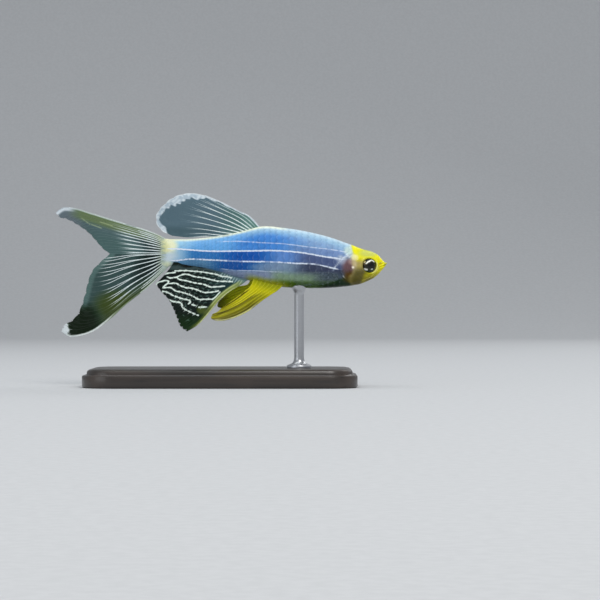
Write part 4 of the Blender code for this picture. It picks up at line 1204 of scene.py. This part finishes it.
def dorsal_colour(points):
    """The back fin's film, smoky and greener at the root, with painted shade just above the back, and how
    white its wavy border is.
    """
    s, z = points[:, 0], points[:, 2]
    sheet, wash = painted((92, 118, 130), points)
    wash((84, 122, 118), fade(s, 24, 29))
    wash((106, 148, 140), fade(s, 22.6, 24.4) * 0.8)
    # Painted shade on the film just above the back, towards the rear.
    wash((60, 86, 92), fade(z, 4.4, 5.6) * ease(s, 26, 29) * 0.5)
    border = np.concatenate([along(DORSAL_FIN["margin"], np.linspace(1, 0, 60)),
                             along(DORSAL_FIN["lead"], np.linspace(1, 0, 50))[1:]])
    away, _, share = off_line(border, points[:, (0, 2)])
    knots = np.array(DORSAL_BORDER)
    width = curve_through(knots[:, 0], knots[:, 1], share)
    ripple = 0.16 * np.sin(2.3 * s + 1.3 * z) + 0.13 * np.sin(5.3 * s - 3.1 * z + 2.0 * np.sin(1.7 * z))
    width = width * (1 + ripple)
    white = fade(away, width - 0.1, width + 0.05)
    wash((182, 200, 212), white)
    blotch = 0.5 + 0.5 * np.sin(4.3 * s + 2.0 * np.sin(2.7 * z)) * np.sin(5.1 * z + 1.7 * np.sin(3.3 * s))
    wash((232, 242, 246), white * ease(blotch, 0.35, 0.75) * 0.7)
    wash((236, 244, 246), white * fade(away, 0.08, 0.26) * (0.8 - 0.4 * ease(share, 0.6, 0.9)))
    return sheet, white


smoky_veil = veil_material("smoky_veil")
pale_rays = ray_material("pale_rays")
dorsal_surface = fin_surface(DORSAL_FIN, dorsal_lean, flutter=0.14, waves=1.5)
u, v = scalloped(150, 90, DORSAL_RAYS, 0.012)
sail = dorsal_surface(u, v)
dorsal = fin_skin("dorsal_fin_skin", sail, SKIN_THICKNESS)
sheet, white = dorsal_colour(sail.reshape(-1, 3))
dress_skin(dorsal, sail, sheet, 0.88 + 0.08 * white)
worn(dorsal, smoky_veil)
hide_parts("dorsal_fin")
spots = np.linspace(0.0, 1.0, DORSAL_RAYS)
rays, shares = fin_rays("dorsal_fin_rays", dorsal_surface, spots, 1 / (DORSAL_RAYS - 1), (0.125, 0.012))
points = dorsal_surface(shares[:, 0], shares[:, 1])
film, white = dorsal_colour(points)
sheet, wash = painted(film, shares)
bright = ease(points[:, 0], 21.0, 22.6) * fade(points[:, 0], 28.5, 34.0)
wash(WHITE, bright * (0.6 + 0.4 * ease(shares[:, 0], 0.1, 0.3)) * (1 - white))
dress_rays(rays, dorsal_surface, shares, sheet)
worn(rays, pale_rays)


# The anal fin. A long dark veil under the tail stem on fourteen rays, crossed by wavering white
# stripes that run on from the flank, with a yellow-green leading edge and a green tip.
ANAL_FIN = {
    "root": ((22.68, -3.48), (25.6, -2.11), (29.65, -0.97), (34.67, -0.65)),
    "lead": ((22.68, -3.48), (24.0, -4.42), (25.2, -5.12), (26.35, -5.95), (27.4, -6.95), (28.45, -8.2),
             (29.6, -9.6), (31.0, -11.0), (32.56, -11.9)),
    "margin": ((32.56, -11.9), (33.53, -11.18), (34.18, -9.72), (34.83, -8.1), (35.64, -6.64),
               (36.77, -5.43), (37.66, -4.21)),
    "trail": ((34.67, -0.65), (35.48, -1.86), (36.45, -3.0), (37.66, -4.21)),
}
ANAL_RAYS = 14
# The fin's white stripes, each from the rear forwards as s and z.
ANAL_STRIPES = (
    ((36.53, -2.77), (36.0, -2.54), (35.3, -2.41), (34.46, -2.35)),
    ((34.5, -2.1), (33.6, -2.05), (32.84, -2.03), (31.9, -2.1), (30.9, -2.18), (29.97, -2.27), (29.0, -2.44),
     (28.2, -2.58), (27.5, -2.74), (26.8, -3.0), (26.2, -3.0), (25.3, -3.25)),
    ((35.75, -3.08), (35.35, -3.23), (34.65, -3.15), (34.19, -3.08), (33.8, -2.88), (33.3, -2.68),
     (32.62, -2.63), (32.03, -2.77), (31.46, -2.98), (30.7, -3.1), (29.9, -3.2), (29.1, -3.4), (28.3, -3.6),
     (27.4, -3.77), (26.3, -3.77), (25.2, -3.85)),
    ((34.2, -3.16), (33.85, -3.44), (33.3, -3.57), (32.6, -3.7), (31.9, -3.9), (31.0, -4.08), (30.3, -4.18),
     (29.75, -4.29), (29.25, -4.5), (28.72, -4.7), (28.1, -4.68), (27.3, -4.63), (26.5, -4.55)),
    ((37.65, -4.6), (37.38, -4.06), (36.6, -3.76), (35.85, -3.66), (35.54, -3.8), (35.7, -4.1), (36.12, -4.4),
     (36.43, -4.7)),
    ((35.5, -4.15), (34.85, -4.08), (34.3, -4.11), (33.9, -4.32), (33.6, -4.5), (33.2, -4.65), (32.6, -4.84),
     (31.95, -4.87), (31.4, -5.0), (30.75, -5.22), (30.2, -5.46), (29.5, -5.6), (28.75, -5.54),
     (28.1, -5.48), (27.5, -5.31)),
    ((36.5, -4.82), (35.9, -4.79), (35.2, -4.8), (34.8, -5.06), (34.42, -5.33), (33.8, -5.45), (33.1, -5.63),
     (32.45, -5.85), (31.85, -6.06), (31.4, -6.28), (31.0, -6.58), (30.45, -6.72), (29.8, -6.69),
     (29.0, -6.67), (28.4, -6.65), (28.0, -6.4), (27.6, -5.98), (27.2, -5.5)),
    ((36.5, -5.41), (36.0, -5.48), (35.4, -5.72), (34.9, -6.04), (34.3, -6.25), (33.7, -6.48),
     (33.1, -6.64), (32.5, -6.76), (32.1, -6.95), (32.0, -7.18), (32.33, -7.39)),
    ((31.85, -7.5), (31.05, -7.76)),
    ((30.62, -7.99), (29.95, -7.94), (29.28, -7.94)),
    ((35.31, -6.8), (34.84, -7.03), (34.23, -7.13), (33.7, -7.21), (33.4, -7.5), (33.3, -7.95),
     (32.95, -8.27), (32.4, -8.56), (31.9, -8.8), (31.25, -9.1)),
    ((30.95, -9.22), (30.75, -9.27)),
)
# Faint grey-green lines between them, and short ones near the tip.
FAINT_STRIPES = (
    ((31.91, -2.41), (30.46, -2.56), (29.03, -2.83), (28.07, -3.03), (27.31, -3.32), (26.57, -3.5)),
    ((33.7, -3.13), (32.84, -3.27), (31.98, -3.4), (30.94, -3.6), (29.97, -3.69), (29.03, -3.94),
     (28.07, -4.18), (27.12, -4.08)),
    ((33.4, -3.99), (32.64, -4.28), (31.88, -4.46), (30.94, -4.65), (30.16, -4.84), (29.5, -5.12),
     (28.64, -5.12), (27.6, -5.02)),
    ((33.99, -4.75), (33.21, -5.12), (32.46, -5.31), (31.69, -5.51), (30.94, -5.83), (30.46, -6.12),
     (29.5, -6.16), (28.54, -6.08), (27.88, -5.83)),
    ((34.93, -5.31), (34.26, -5.8), (33.4, -6.08), (32.64, -6.32), (31.88, -6.56), (31.31, -6.93),
     (30.46, -7.13), (29.5, -7.23), (28.64, -7.13)),
    ((34.75, -6.46), (33.99, -6.74), (33.21, -6.93), (32.84, -7.32), (32.74, -7.79), (32.08, -8.26),
     (31.31, -8.65)),
    ((33.21, -9.2), (32.85, -9.5)),
    ((32.5, -10.05), (32.2, -10.1)),
    ((33.95, -10.8), (33.8, -10.95)),
)
# Short pale hatches near the fin's front root: how many, the first one's middle, the step to the
# next one and half of each one's length.
HATCHES = 9
HATCH_FIRST = np.array((27.0, -2.72))
HATCH_STEP = np.array((-0.39, -0.16))
HATCH_HALF = np.array((-0.22, 0.32))
# Near black patches under the stem: the middle and the size of each.
ANAL_PATCHES = (((32.6, -1.3), (1.0, 0.3)), ((29.9, -1.45), (1.0, 0.25)))


def anal_lean(s, z):
    """The anal fin tips to the right towards its rear corner and its tip."""
    return -0.8 * (ease(-z, 0.5, 12.0) + ease(s, 30.0, 38.0))


def anal_colour(points, u, v):
    """The anal fin's film: near black green, striped, with a bright leading edge."""
    s, z, seen = points[:, 0], points[:, 2], points[:, (0, 2)]
    sheet, wash = painted((6, 20, 16), points)
    wash((40, 74, 76), fade(v, 0.1, 0.6) * fade(u, 0.1, 0.6) * 0.75)
    wash((14, 44, 10), ease(-z, 8.2, 10.5))
    wash((140, 152, 50), patch(s, z, (30.2, -8.4), (0.9, 0.8)) * 0.5)
    wash((126, 158, 168), fade(v, 0.04, 0.16) * fade(u, 0.55, 0.75) * 0.8)
    for number in range(HATCHES):
        middle = HATCH_FIRST + number * HATCH_STEP
        away, _, _ = off_line((middle - HATCH_HALF, middle + HATCH_HALF), seen)
        wash((184, 208, 204), fade(away, 0.04, 0.13) * 0.75)
    wash((150, 172, 176), fade(z, -1.4, -0.9) * ease(z, -2.2, -1.7) * 0.35)
    for middle, size in ANAL_PATCHES:
        wash((8, 14, 12), patch(s, z, middle, size))
    broken = np.clip(0.3 + 0.4 * np.sin(6.2 * s + 1.7 * z), 0.08, 0.6)
    for line in FAINT_STRIPES:
        away, _, _ = off_curve(line, seen, 80)
        wash((120, 150, 140), fade(away, 0.03, 0.12) * broken)
    stripe = np.zeros(len(points))
    half = 0.12 + 0.025 * np.sin(7.0 * s + 4.0 * z)
    for line in ANAL_STRIPES:
        away, _, _ = off_curve(line, seen, 120)
        stripe = np.maximum(stripe, fade(away, half - 0.05, half + 0.05))
    wash((238, 252, 242), stripe)
    away, _, share = off_curve(ANAL_FIN["lead"], seen)
    wash((172, 184, 92), fade(away, 0.5, 0.85) * ease(share, 0.0, 0.2) * fade(share, 0.5, 0.8) * 0.8)
    wash((92, 104, 40), fade(away, 0.3, 0.6) * ease(share, 0.5, 0.7) * fade(share, 0.86, 1.0) * 0.8)
    wash((204, 212, 150), fade(away, 0.08, 0.2) * ease(share, 0.1, 0.3) * fade(share, 0.8, 0.97))
    wash((190, 200, 140), bell(away, 0.5, 0.09) * ease(share, 0.1, 0.2) * fade(share, 0.5, 0.6))
    return sheet


anal_surface = fin_surface(ANAL_FIN, anal_lean, flutter=0.16, waves=1.5)
u, v = scalloped(240, 180, ANAL_RAYS, 0.02)
sail = anal_surface(u, v)
anal = fin_skin("anal_fin_skin", sail, SKIN_THICKNESS)
dress_skin(anal, sail, anal_colour(sail.reshape(-1, 3), u.ravel(), v.ravel()), np.full(u.size, 0.995))
worn(anal, smoky_veil)
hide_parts("anal_fin")
spots = np.linspace(0.0, 1.0, ANAL_RAYS)
rays, shares = fin_rays("anal_fin_rays", anal_surface, spots, 1 / (ANAL_RAYS - 1), (0.09, 0.045))
u, v = shares[:, 0], shares[:, 1]
dress_rays(rays, anal_surface, shares, anal_colour(anal_surface(u, v), u, v))
worn(rays, pale_rays)


# The tail fin. Two long lobes of film, each on ten branching rays, joined at the fork. The upper lobe
# is olive under a white edge, the lower one trails white rays to a dark green end with a white tip.
TAIL_SPLIT = 0.73
TAIL_UPPER = {
    "root": ((35.32, 2.6), (35.56, 1.66), (35.64, TAIL_SPLIT)),
    "lead": ((35.32, 2.6), (36.94, 3.54), (38.56, 4.24), (41.8, 5.3), (45.04, 6.3), (48.28, 7.32),
             (51.03, 8.13), (52.97, 8.21), (LENGTH, 7.42)),
    "margin": ((LENGTH, 7.42), (53.62, 6.8), (52.16, 6.32), (50.38, 5.35), (48.6, 4.05), (47.14, 2.43),
               (46.17, 1.4), (45.2, TAIL_SPLIT)),
    "trail": ((35.64, TAIL_SPLIT), (40.18, TAIL_SPLIT), (45.2, TAIL_SPLIT)),
}
TAIL_LOWER = {
    "root": ((35.32, -1.05), (35.56, -0.16), (35.64, TAIL_SPLIT)),
    "lead": ((35.32, -1.05), (36.45, -2.19), (38.56, -4.29), (42.61, -7.53), (46.17, -10.69),
             (47.95, -11.91), (49.9, -12.6), (52.0, -12.77), (53.3, -11.99)),
    "margin": ((53.3, -11.99), (52.97, -11.02), (51.84, -10.29), (50.71, -9.31), (49.9, -7.61),
               (49.25, -5.51), (48.76, -3.56), (48.11, -2.02), (47.14, -0.97), (45.2, TAIL_SPLIT)),
    "trail": ((35.64, TAIL_SPLIT), (40.18, TAIL_SPLIT), (45.2, TAIL_SPLIT)),
}
TAIL_RAYS = 10
# The last ray lies this far across its lobe, just short of the split.
TAIL_RAYS_TO = 0.97
BODY_END = 36.8
# A ray's base on the stem: how far it runs from the root outwards, and how it is divided.
ROOT_SPAN = (0.03, 0.3)
ROOT_STEPS = 16
ROOT_SIDES = 8
# Short pale streaks in the upper lobe's olive band.
OLIVE_STREAKS = (
    ((44.8, 5.28), (46.8, 5.91)),
    ((46.6, 4.9), (48.2, 5.5)),
    ((48.5, 5.54), (49.8, 6.53)),
)


def tail_lean(s, z):
    """The tail fin's lobes curl to opposite sides."""
    reach = (s - BODY_END) / (LENGTH - BODY_END)
    return -0.9 * reach**2 * (z - TAIL_SPLIT) / 9.0


def upper_lobe_colour(points, u, v):
    """The upper lobe: white edge and tip, an olive band under it, smoky towards the fork."""
    s = points[:, 0]
    sheet, wash = painted((82, 106, 108), points)
    wash((26, 44, 44), fade(v, 0.2, 0.5) * ease(u, 0.15, 0.45))
    wash((76, 104, 102), ease(u, 0.45, 0.8) * ease(v, 0.3, 0.6))
    wash((112, 122, 132), ease(s, 48.8, 51.5) * 0.7)
    away, _, share = off_curve(TAIL_UPPER["lead"], points[:, (0, 2)])
    olive = fade(away, 1.0, 1.9) * fade(s, 49.5, 52.5) * ease(v, 0.1, 0.3)
    wash((104, 124, 84), olive)
    for start, end in OLIVE_STREAKS:
        off, _, _ = off_line((start, end), points[:, (0, 2)])
        wash((190, 204, 156), fade(off, 0.03, 0.14) * 0.6)
    wash((120, 136, 104), fade(v, 0.1, 0.3) * fade(u, 0.1, 0.5))
    wash((212, 224, 222), fade(away, 0.1, 0.24) * ease(share, 0.05, 0.25) * 0.85)
    wash((222, 232, 238), fade(away, 0.35, 0.75) * ease(s, 50.4, 52.2))
    wash((168, 184, 168), fade(v + 0.02 * np.sin(40 * u), 0.07, 0.15))
    return sheet


def lower_lobe_colour(points, u, v):
    """The lower lobe: white lower edge and tip, olive and dark green inside, teal at the fork."""
    s, z = points[:, 0], points[:, 2]
    sheet, wash = painted((56, 80, 78), points)
    wash((16, 34, 32), fade(v, 0.3, 0.6) * ease(u, 0.2, 0.5))
    wash((62, 76, 14), patch(s, z, (44.0, -7.6), (4.0, 2.6)) * 0.8)
    wash((58, 72, 30), fade(u, 0.1, 0.5) * fade(s, 46, 49) * ease(v, 0.1, 0.3) * 0.6)
    wash((4, 24, 0), ease(s - 0.35 * (z + 8), 46.5, 49.0) * fade(z, -9.0, -6.6))
    away, _, share = off_curve(TAIL_LOWER["margin"], points[:, (0, 2)])
    wash((84, 112, 108), fade(away, 0.6, 1.1) * ease(share, 0.25, 0.45) * fade(-z, 7.0, 9.0))
    away, _, share = off_curve(TAIL_LOWER["lead"], points[:, (0, 2)])
    wash((236, 242, 240), fade(away, 0.2, 0.36) * ease(share, 0.45, 0.62))
    wash((120, 138, 100), fade(away, 0.06, 0.22) * fade(share, 0.5, 0.7) * ease(share, 0.05, 0.2))
    tip = np.hypot(s - 52.9, (z + 11.6) * 0.8)
    wash((228, 236, 238), fade(tip + 0.1 * np.sin(6.0 * z), 0.75, 1.05))
    wash((168, 184, 172), fade(v + 0.02 * np.sin(40 * u), 0.07, 0.15))
    return sheet


def tail_bright(u, v, upper):
    """How white the tail's rays are."""
    inner = ease(u, 0.1, 0.4)
    if upper:
        far = 0.34 + 0.24 * u
        return (0.45 + 0.55 * inner) * (1 - 0.95 * ease(v, far, far + 0.24))
    far = 0.44 + 0.5 * u
    return (0.2 + 0.8 * inner) * (1 - 0.95 * ease(v, far, far + 0.15))


def stem_half(s, z):
    """How far out from the middle the tail stem's skin lies, at places seen from the side."""
    back, belly, half = body_rows(np.sqrt(s - NOSE))
    middle = belly + WIDEST_LEVEL * (back - belly)
    height = np.where(z > middle, back - middle, middle - belly)
    return half * (1 - np.clip(np.abs(z - middle) / height, 0, 1) ** ROUNDNESS) ** (1 / ROUNDNESS)


def ray_roots(name, surface, spots):
    """The rays' bases, which lie on both sides of the tail stem's end and fade into its skin."""
    points, faces, shares = [], [], []
    v = np.linspace(*ROOT_SPAN, ROOT_STEPS)
    radius = 0.02 + 0.065 * ease(v, 0.03, 0.14) - 0.01 * ease(v, 0.2, 0.3)
    for spot in spots:
        for side in (-1, 1):
            spine = surface(np.full_like(v, spot), v)
            out = stem_half(spine[:, 0], spine[:, 2])
            spine[:, 1] += side * (out + 0.035 - 0.03 * fade(v, 0.03, 0.12))
            faces += ring_faces(ROOT_STEPS, ROOT_SIDES, first=sum(len(p) for p in points))
            points.append(tube_round(stood(spine), radius, ROOT_SIDES))
            shares.append(np.stack([np.full_like(v, spot), v], -1).repeat(ROOT_SIDES, axis=0))
    return solid_from(name, np.concatenate(points), faces, smooth_under=60), np.concatenate(shares)


spots = np.linspace(0.0, TAIL_RAYS_TO, TAIL_RAYS)
sails, hues = [], []
for word, edges, colour_of, sweep, root_colour in (
    ("upper", TAIL_UPPER, upper_lobe_colour, 0.0, (226, 230, 180)),
    ("lower", TAIL_LOWER, lower_lobe_colour, 0.07, (204, 218, 208)),
):
    upper = word == "upper"
    surface = fin_surface(edges, tail_lean)
    u, v = scalloped(120, 150, TAIL_RAYS, 0.012)
    sail = surface(u, v)
    sails.append(sail)
    hues.append(colour_of(sail.reshape(-1, 3), u.ravel(), v.ravel()).reshape(sail.shape))
    rays, shares = fin_rays(
        "tail_rays_" + word, surface, spots, TAIL_RAYS_TO / (TAIL_RAYS - 1), (0.1, 0.055),
        branches=(0.26, 0.88), sweep=sweep,
    )
    ru, rv = shares[:, 0], shares[:, 1]
    sheet, wash = painted(colour_of(surface(ru, rv), ru, rv), shares)
    wash(WHITE, tail_bright(ru, rv, upper))
    dress_rays(rays, surface, shares, sheet)
    worn(rays, pale_rays)
    roots, shares = ray_roots("tail_ray_roots_" + word, surface, spots)
    ru, rv = shares[:, 0], shares[:, 1]
    sheet, wash = painted(root_colour, shares)
    wash((206, 218, 206), ease(rv, 0.05, 0.14))
    wash(WHITE, ease(rv, 0.1, 0.2) * tail_bright(ru, rv, upper))
    dress_rays(roots, surface, shares, sheet)
    worn(roots, pale_rays)
whole_sail, whole_hue = (np.concatenate([a, b[:, ::-1][:, 1:]], axis=1) for a, b in (sails, hues))
tail = fin_skin("tail_fin_skin", whole_sail, SKIN_THICKNESS)
smoky = ease(whole_sail[..., 0], 46.0, 51.0) * ease(whole_sail[..., 2], 0.0, 3.0)
away = off_curve(TAIL_UPPER["lead"], whole_sail.reshape(-1, 3)[:, (0, 2)])[0]
smoky = smoky.ravel() * ease(away, 0.8, 2.4)
dress_skin(tail, whole_sail, whole_hue.reshape(-1, 3), 0.995 - 0.3 * smoky)
worn(tail, smoky_veil)
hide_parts("tail_fin_upper", "tail_fin_lower")


# The belly fins. A pair of lemon yellow films folded along the belly, each on eight rays with dark
# olive lines between them and a pale lower edge, the left one spread wider and held higher.
PELVIC_RIGHT = {
    "root": ((17.0, -4.3), (19.3, -3.9), (21.6, -3.1)),
    "lead": ((17.0, -4.3), (17.8, -5.1), (19.1, -5.96), (20.4, -6.85), (21.4, -7.65), (22.4, -8.42),
             (24.0, -9.28), (25.6, -9.88), (26.9, -10.15), (27.9, -10.1)),
    "margin": ((27.9, -10.1), (28.6, -9.72), (28.45, -9.2), (27.6, -8.75), (26.9, -8.1)),
    "trail": ((21.6, -3.1), (22.2, -4.6), (23.5, -5.67), (24.8, -6.64), (25.9, -7.4), (26.9, -8.1)),
}
PELVIC_LEFT = {
    "root": ((17.6, -4.2), (19.8, -3.8), (22.0, -3.0)),
    "lead": ((17.6, -4.2), (19.6, -5.5), (21.6, -6.7), (23.6, -7.6), (25.6, -8.1), (27.0, -8.15)),
    "margin": ((27.0, -8.15), (27.75, -7.85), (27.7, -7.35), (27.0, -6.55)),
    "trail": ((22.0, -3.0), (22.7, -4.3), (24.2, -4.65), (25.6, -5.3), (27.0, -6.55)),
}
PELVIC_HINGE = ((17.0, -4.3), (21.8, -3.5))
PELVIC_AT_ROOT = 0.7
PELVIC_RAYS = 8
# Painted shade along folds of the near fin: their place across it, their width and their strength.
PELVIC_FOLD_SHADES = ((0.94, 0.035, 0.85), (0.44, 0.04, 0.9))


def pelvic_colour(edges, points, u, v):
    """The belly fin's film: lemon at the root, olive outwards, darker between the rays."""
    valley = np.abs(np.sin(math.pi * (PELVIC_RAYS - 1) * u)) ** 3
    if edges is PELVIC_LEFT:
        sheet, wash = painted((200, 208, 0), points)
        wash((96, 98, 0), ease(v, 0.65, 1.0) * 0.9)
        wash((150, 156, 0), valley * 0.4)
        return sheet
    sheet, wash = painted((206, 200, 0), points)
    wash((148, 154, 0), fade(v, 0.02, 0.22))
    wash((156, 150, 0), ease(v, 0.35, 0.9) * 0.8)
    wash((96, 92, 0), valley * ease(v, 0.15, 0.4) * fade(u, 0.55, 0.9) * 0.55)
    for place, width, depth in PELVIC_FOLD_SHADES:
        # Painted shade in the folds.
        dark = bell(u, place, width) * ease(v, 0.25, 0.4) * fade(v, 0.85, 0.98)
        wash((40, 36, 0), dark * depth)
    # A painted highlight: a bright streak along the fin's middle.
    wash((232, 226, 110), bell(u, 0.34, 0.03) * ease(v, 0.35, 0.5) * fade(v, 0.8, 0.95) * 0.7)
    wash((120, 118, 0), fade(u, 0.3, 0.55) * ease(v, 0.15, 0.3) * fade(v, 0.7, 0.9) * 0.6)
    wash((84, 80, 0), fade(u, 0.12, 0.3) * ease(v, 0.3, 0.5) * 0.8)
    away, _, share = off_curve(edges["lead"], points[:, (0, 2)])
    wash((206, 206, 154), fade(away, 0.1, 0.24) * ease(share, 0.3, 0.5))
    return sheet


yellow_veil = veil_material("yellow_veil", roughness=0.34)
for word, side, edges, spread in (("right", -1, PELVIC_RIGHT, 0.2), ("left", 1, PELVIC_LEFT, 0.45)):

    def pelvic_spread(s, z, side=side, spread=spread):
        """The belly fins spread apart below their hinge."""
        seen = np.stack([np.ravel(s), np.ravel(z)], -1)
        away = off_line(PELVIC_HINGE, seen)[0].reshape(np.shape(s))
        return side * (PELVIC_AT_ROOT + spread * away)

    surface = fin_surface(edges, pelvic_spread, flutter=0.1 * side, waves=2.0)
    u, v = scalloped(110, 90, PELVIC_RAYS, 0.02)
    sail = surface(u, v)
    pelvic = fin_skin("pelvic_skin_" + word, sail, SKIN_THICKNESS)
    dress_skin(pelvic, sail, pelvic_colour(edges, sail.reshape(-1, 3), u.ravel(), v.ravel()),
               0.995 - 0.03 * v.ravel())
    worn(pelvic, yellow_veil)
    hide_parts("pelvic_fin_" + word)
    spots = np.linspace(0.0, 1.0, PELVIC_RAYS)
    rays, shares = fin_rays("pelvic_rays_" + word, surface, spots, 1 / (PELVIC_RAYS - 1), (0.12, 0.06))
    ru, rv = shares[:, 0], shares[:, 1]
    sheet, wash = painted(pelvic_colour(edges, surface(ru, rv), ru, rv), shares)
    wash((236, 228, 40), fade(rv, 0.5, 1.0) * 0.3)
    dress_rays(rays, surface, shares, sheet)
    worn(rays, pale_rays)


# The breast fins. A pair of nearly clear fans on ten fine rays, folded back along the flanks just
# behind the gill covers.
PECTORAL_FIN = {
    "root": ((7.9, -2.6), (8.0, -3.1), (8.2, -3.6)),
    "lead": ((7.9, -2.6), (11.5, -2.3), (15.2, -3.0)),
    "margin": ((15.2, -3.0), (15.4, -3.8), (14.6, -4.4), (13.2, -4.6)),
    "trail": ((8.2, -3.6), (10.5, -4.3), (13.2, -4.6)),
}
PECTORAL_SPREAD = (2.0, 0.5)
PECTORAL_RAYS = 10
clear_veil = veil_material("clear_veil", roughness=0.3, gloss=0.0)
for word, side in (("right", -1), ("left", 1)):

    def pectoral_spread(s, z, side=side):
        """The breast fins stand off the flank towards their tips."""
        return side * (PECTORAL_SPREAD[0] + PECTORAL_SPREAD[1] * (s - PECTORAL_FIN["root"][0][0]))

    surface = fin_surface(PECTORAL_FIN, pectoral_spread, flutter=0.12 * side, waves=1.5)
    u, v = scalloped(90, 60, PECTORAL_RAYS, 0.02)
    sail = surface(u, v)
    pectoral = fin_skin("pectoral_skin_" + word, sail, (0.08, 0.04))
    sheet, wash = painted((110, 126, 126), sail.reshape(-1, 3))
    dress_skin(pectoral, sail, sheet, 0.03 + 0.04 * fade(v.ravel(), 0.0, 0.3))
    worn(pectoral, clear_veil)
    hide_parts("pectoral_fin_" + word)
    spots = np.linspace(0.0, 1.0, PECTORAL_RAYS)
    rays, shares = fin_rays("pectoral_rays_" + word, surface, spots, 1 / (PECTORAL_RAYS - 1), (0.05, 0.02))
    sheet, wash = painted((110, 130, 136), shares)
    dress_rays(rays, surface, shares, sheet)
    keep_values(rays, "veil", 0.16 - 0.08 * ease(shares[:, 1], 0.2, 1.0))
    worn(rays, clear_veil)


# The studio. A pale paper sweep under and behind the stand, four soft lamps, and the camera where
# the photograph was taken from, level with the fish's right side.
SWEEP_WIDTH = 1.6
SWEEP_FRONT = -0.75
SWEEP_BACK = 0.5
SWEEP_CURVE = 0.3
SWEEP_TOP = 1.2
PAPER_TONES = ((0.52, 0.53, 0.54, 1), (0.55, 0.56, 0.57, 1))
CAMERA_LENS = 150.0
CAMERA_PLACE = (0.0128, -0.405, 0.0140)
turn = np.linspace(0, math.pi / 2, 24)
y = np.concatenate([[SWEEP_FRONT], SWEEP_BACK + SWEEP_CURVE * np.sin(turn), [SWEEP_BACK + SWEEP_CURVE]])
z = np.concatenate([[0.0], SWEEP_CURVE * (1 - np.cos(turn)), [SWEEP_TOP]])
x = np.array([-SWEEP_WIDTH / 2, SWEEP_WIDTH / 2])
points = np.stack(np.broadcast_arrays(x[None], y[:, None], z[:, None]), -1)
sweep = solid_from("paper_sweep", points.reshape(-1, 3), grid_faces(len(y), 2), None)
paper, node, shade = finish("paper", Roughness=0.85, Specular_IOR_Level=0.2)
place = node("TexCoord", out=3)
tooth = grain(node, place, 900.0, detail=3.0)
shade(Base_Color=blended(node, rescaled(node, tooth, 0.3, 0.7), *PAPER_TONES))
sweep.data.materials.append(paper)

# All lamps point at the fish. Each lamp's place, its size across in metres, its power and its colour.
LAMP_AIM = (0.0, 0.0, 0.02)
LAMPS = (
    ("key_lamp", (0.16, -0.42, 0.46), 0.34, 1.7, (1.0, 0.98, 0.95)),
    ("top_lamp", (-0.06, 0.05, 0.55), 0.5, 1.5, (0.95, 0.98, 1.0)),
    ("fill_lamp", (-0.4, -0.38, 0.12), 0.4, 0.45, (0.92, 0.96, 1.0)),
    ("back_lamp", (0.3, 0.38, 0.3), 0.3, 0.6, (1.0, 1.0, 1.0)),
)
for name, spot, size, power, colour in LAMPS:
    light = bpy.data.lights.new(name, "AREA")
    light.shape = "DISK"
    light.size = size
    light.energy = power
    light.color = colour
    lamp = bpy.data.objects.new(name, light)
    lamp.location = spot
    lamp.rotation_mode = "QUATERNION"
    gap = Vector([LAMP_AIM[k] - spot[k] for k in range(3)])
    lamp.rotation_quaternion = gap.to_track_quat("-Z", "Y")
    lamp.visible_camera = False
    bpy.context.scene.collection.objects.link(lamp)
room = bpy.data.worlds.new("studio_room")
room.use_nodes = True
room.node_tree.nodes["Background"].inputs["Color"].default_value = (0.9, 0.94, 1.0, 1)
room.node_tree.nodes["Background"].inputs["Strength"].default_value = 0.42
bpy.context.scene.world = room
bpy.context.scene.view_settings.view_transform = "Standard"

camera = bpy.data.objects.new("camera", bpy.data.cameras.new("camera"))
camera.data.lens = CAMERA_LENS
camera.data.clip_start = 0.01
camera.data.clip_end = 10.0
camera.location = CAMERA_PLACE
camera.rotation_euler = (math.pi / 2, 0, 0)
bpy.context.scene.collection.objects.link(camera)
bpy.context.scene.camera = camera
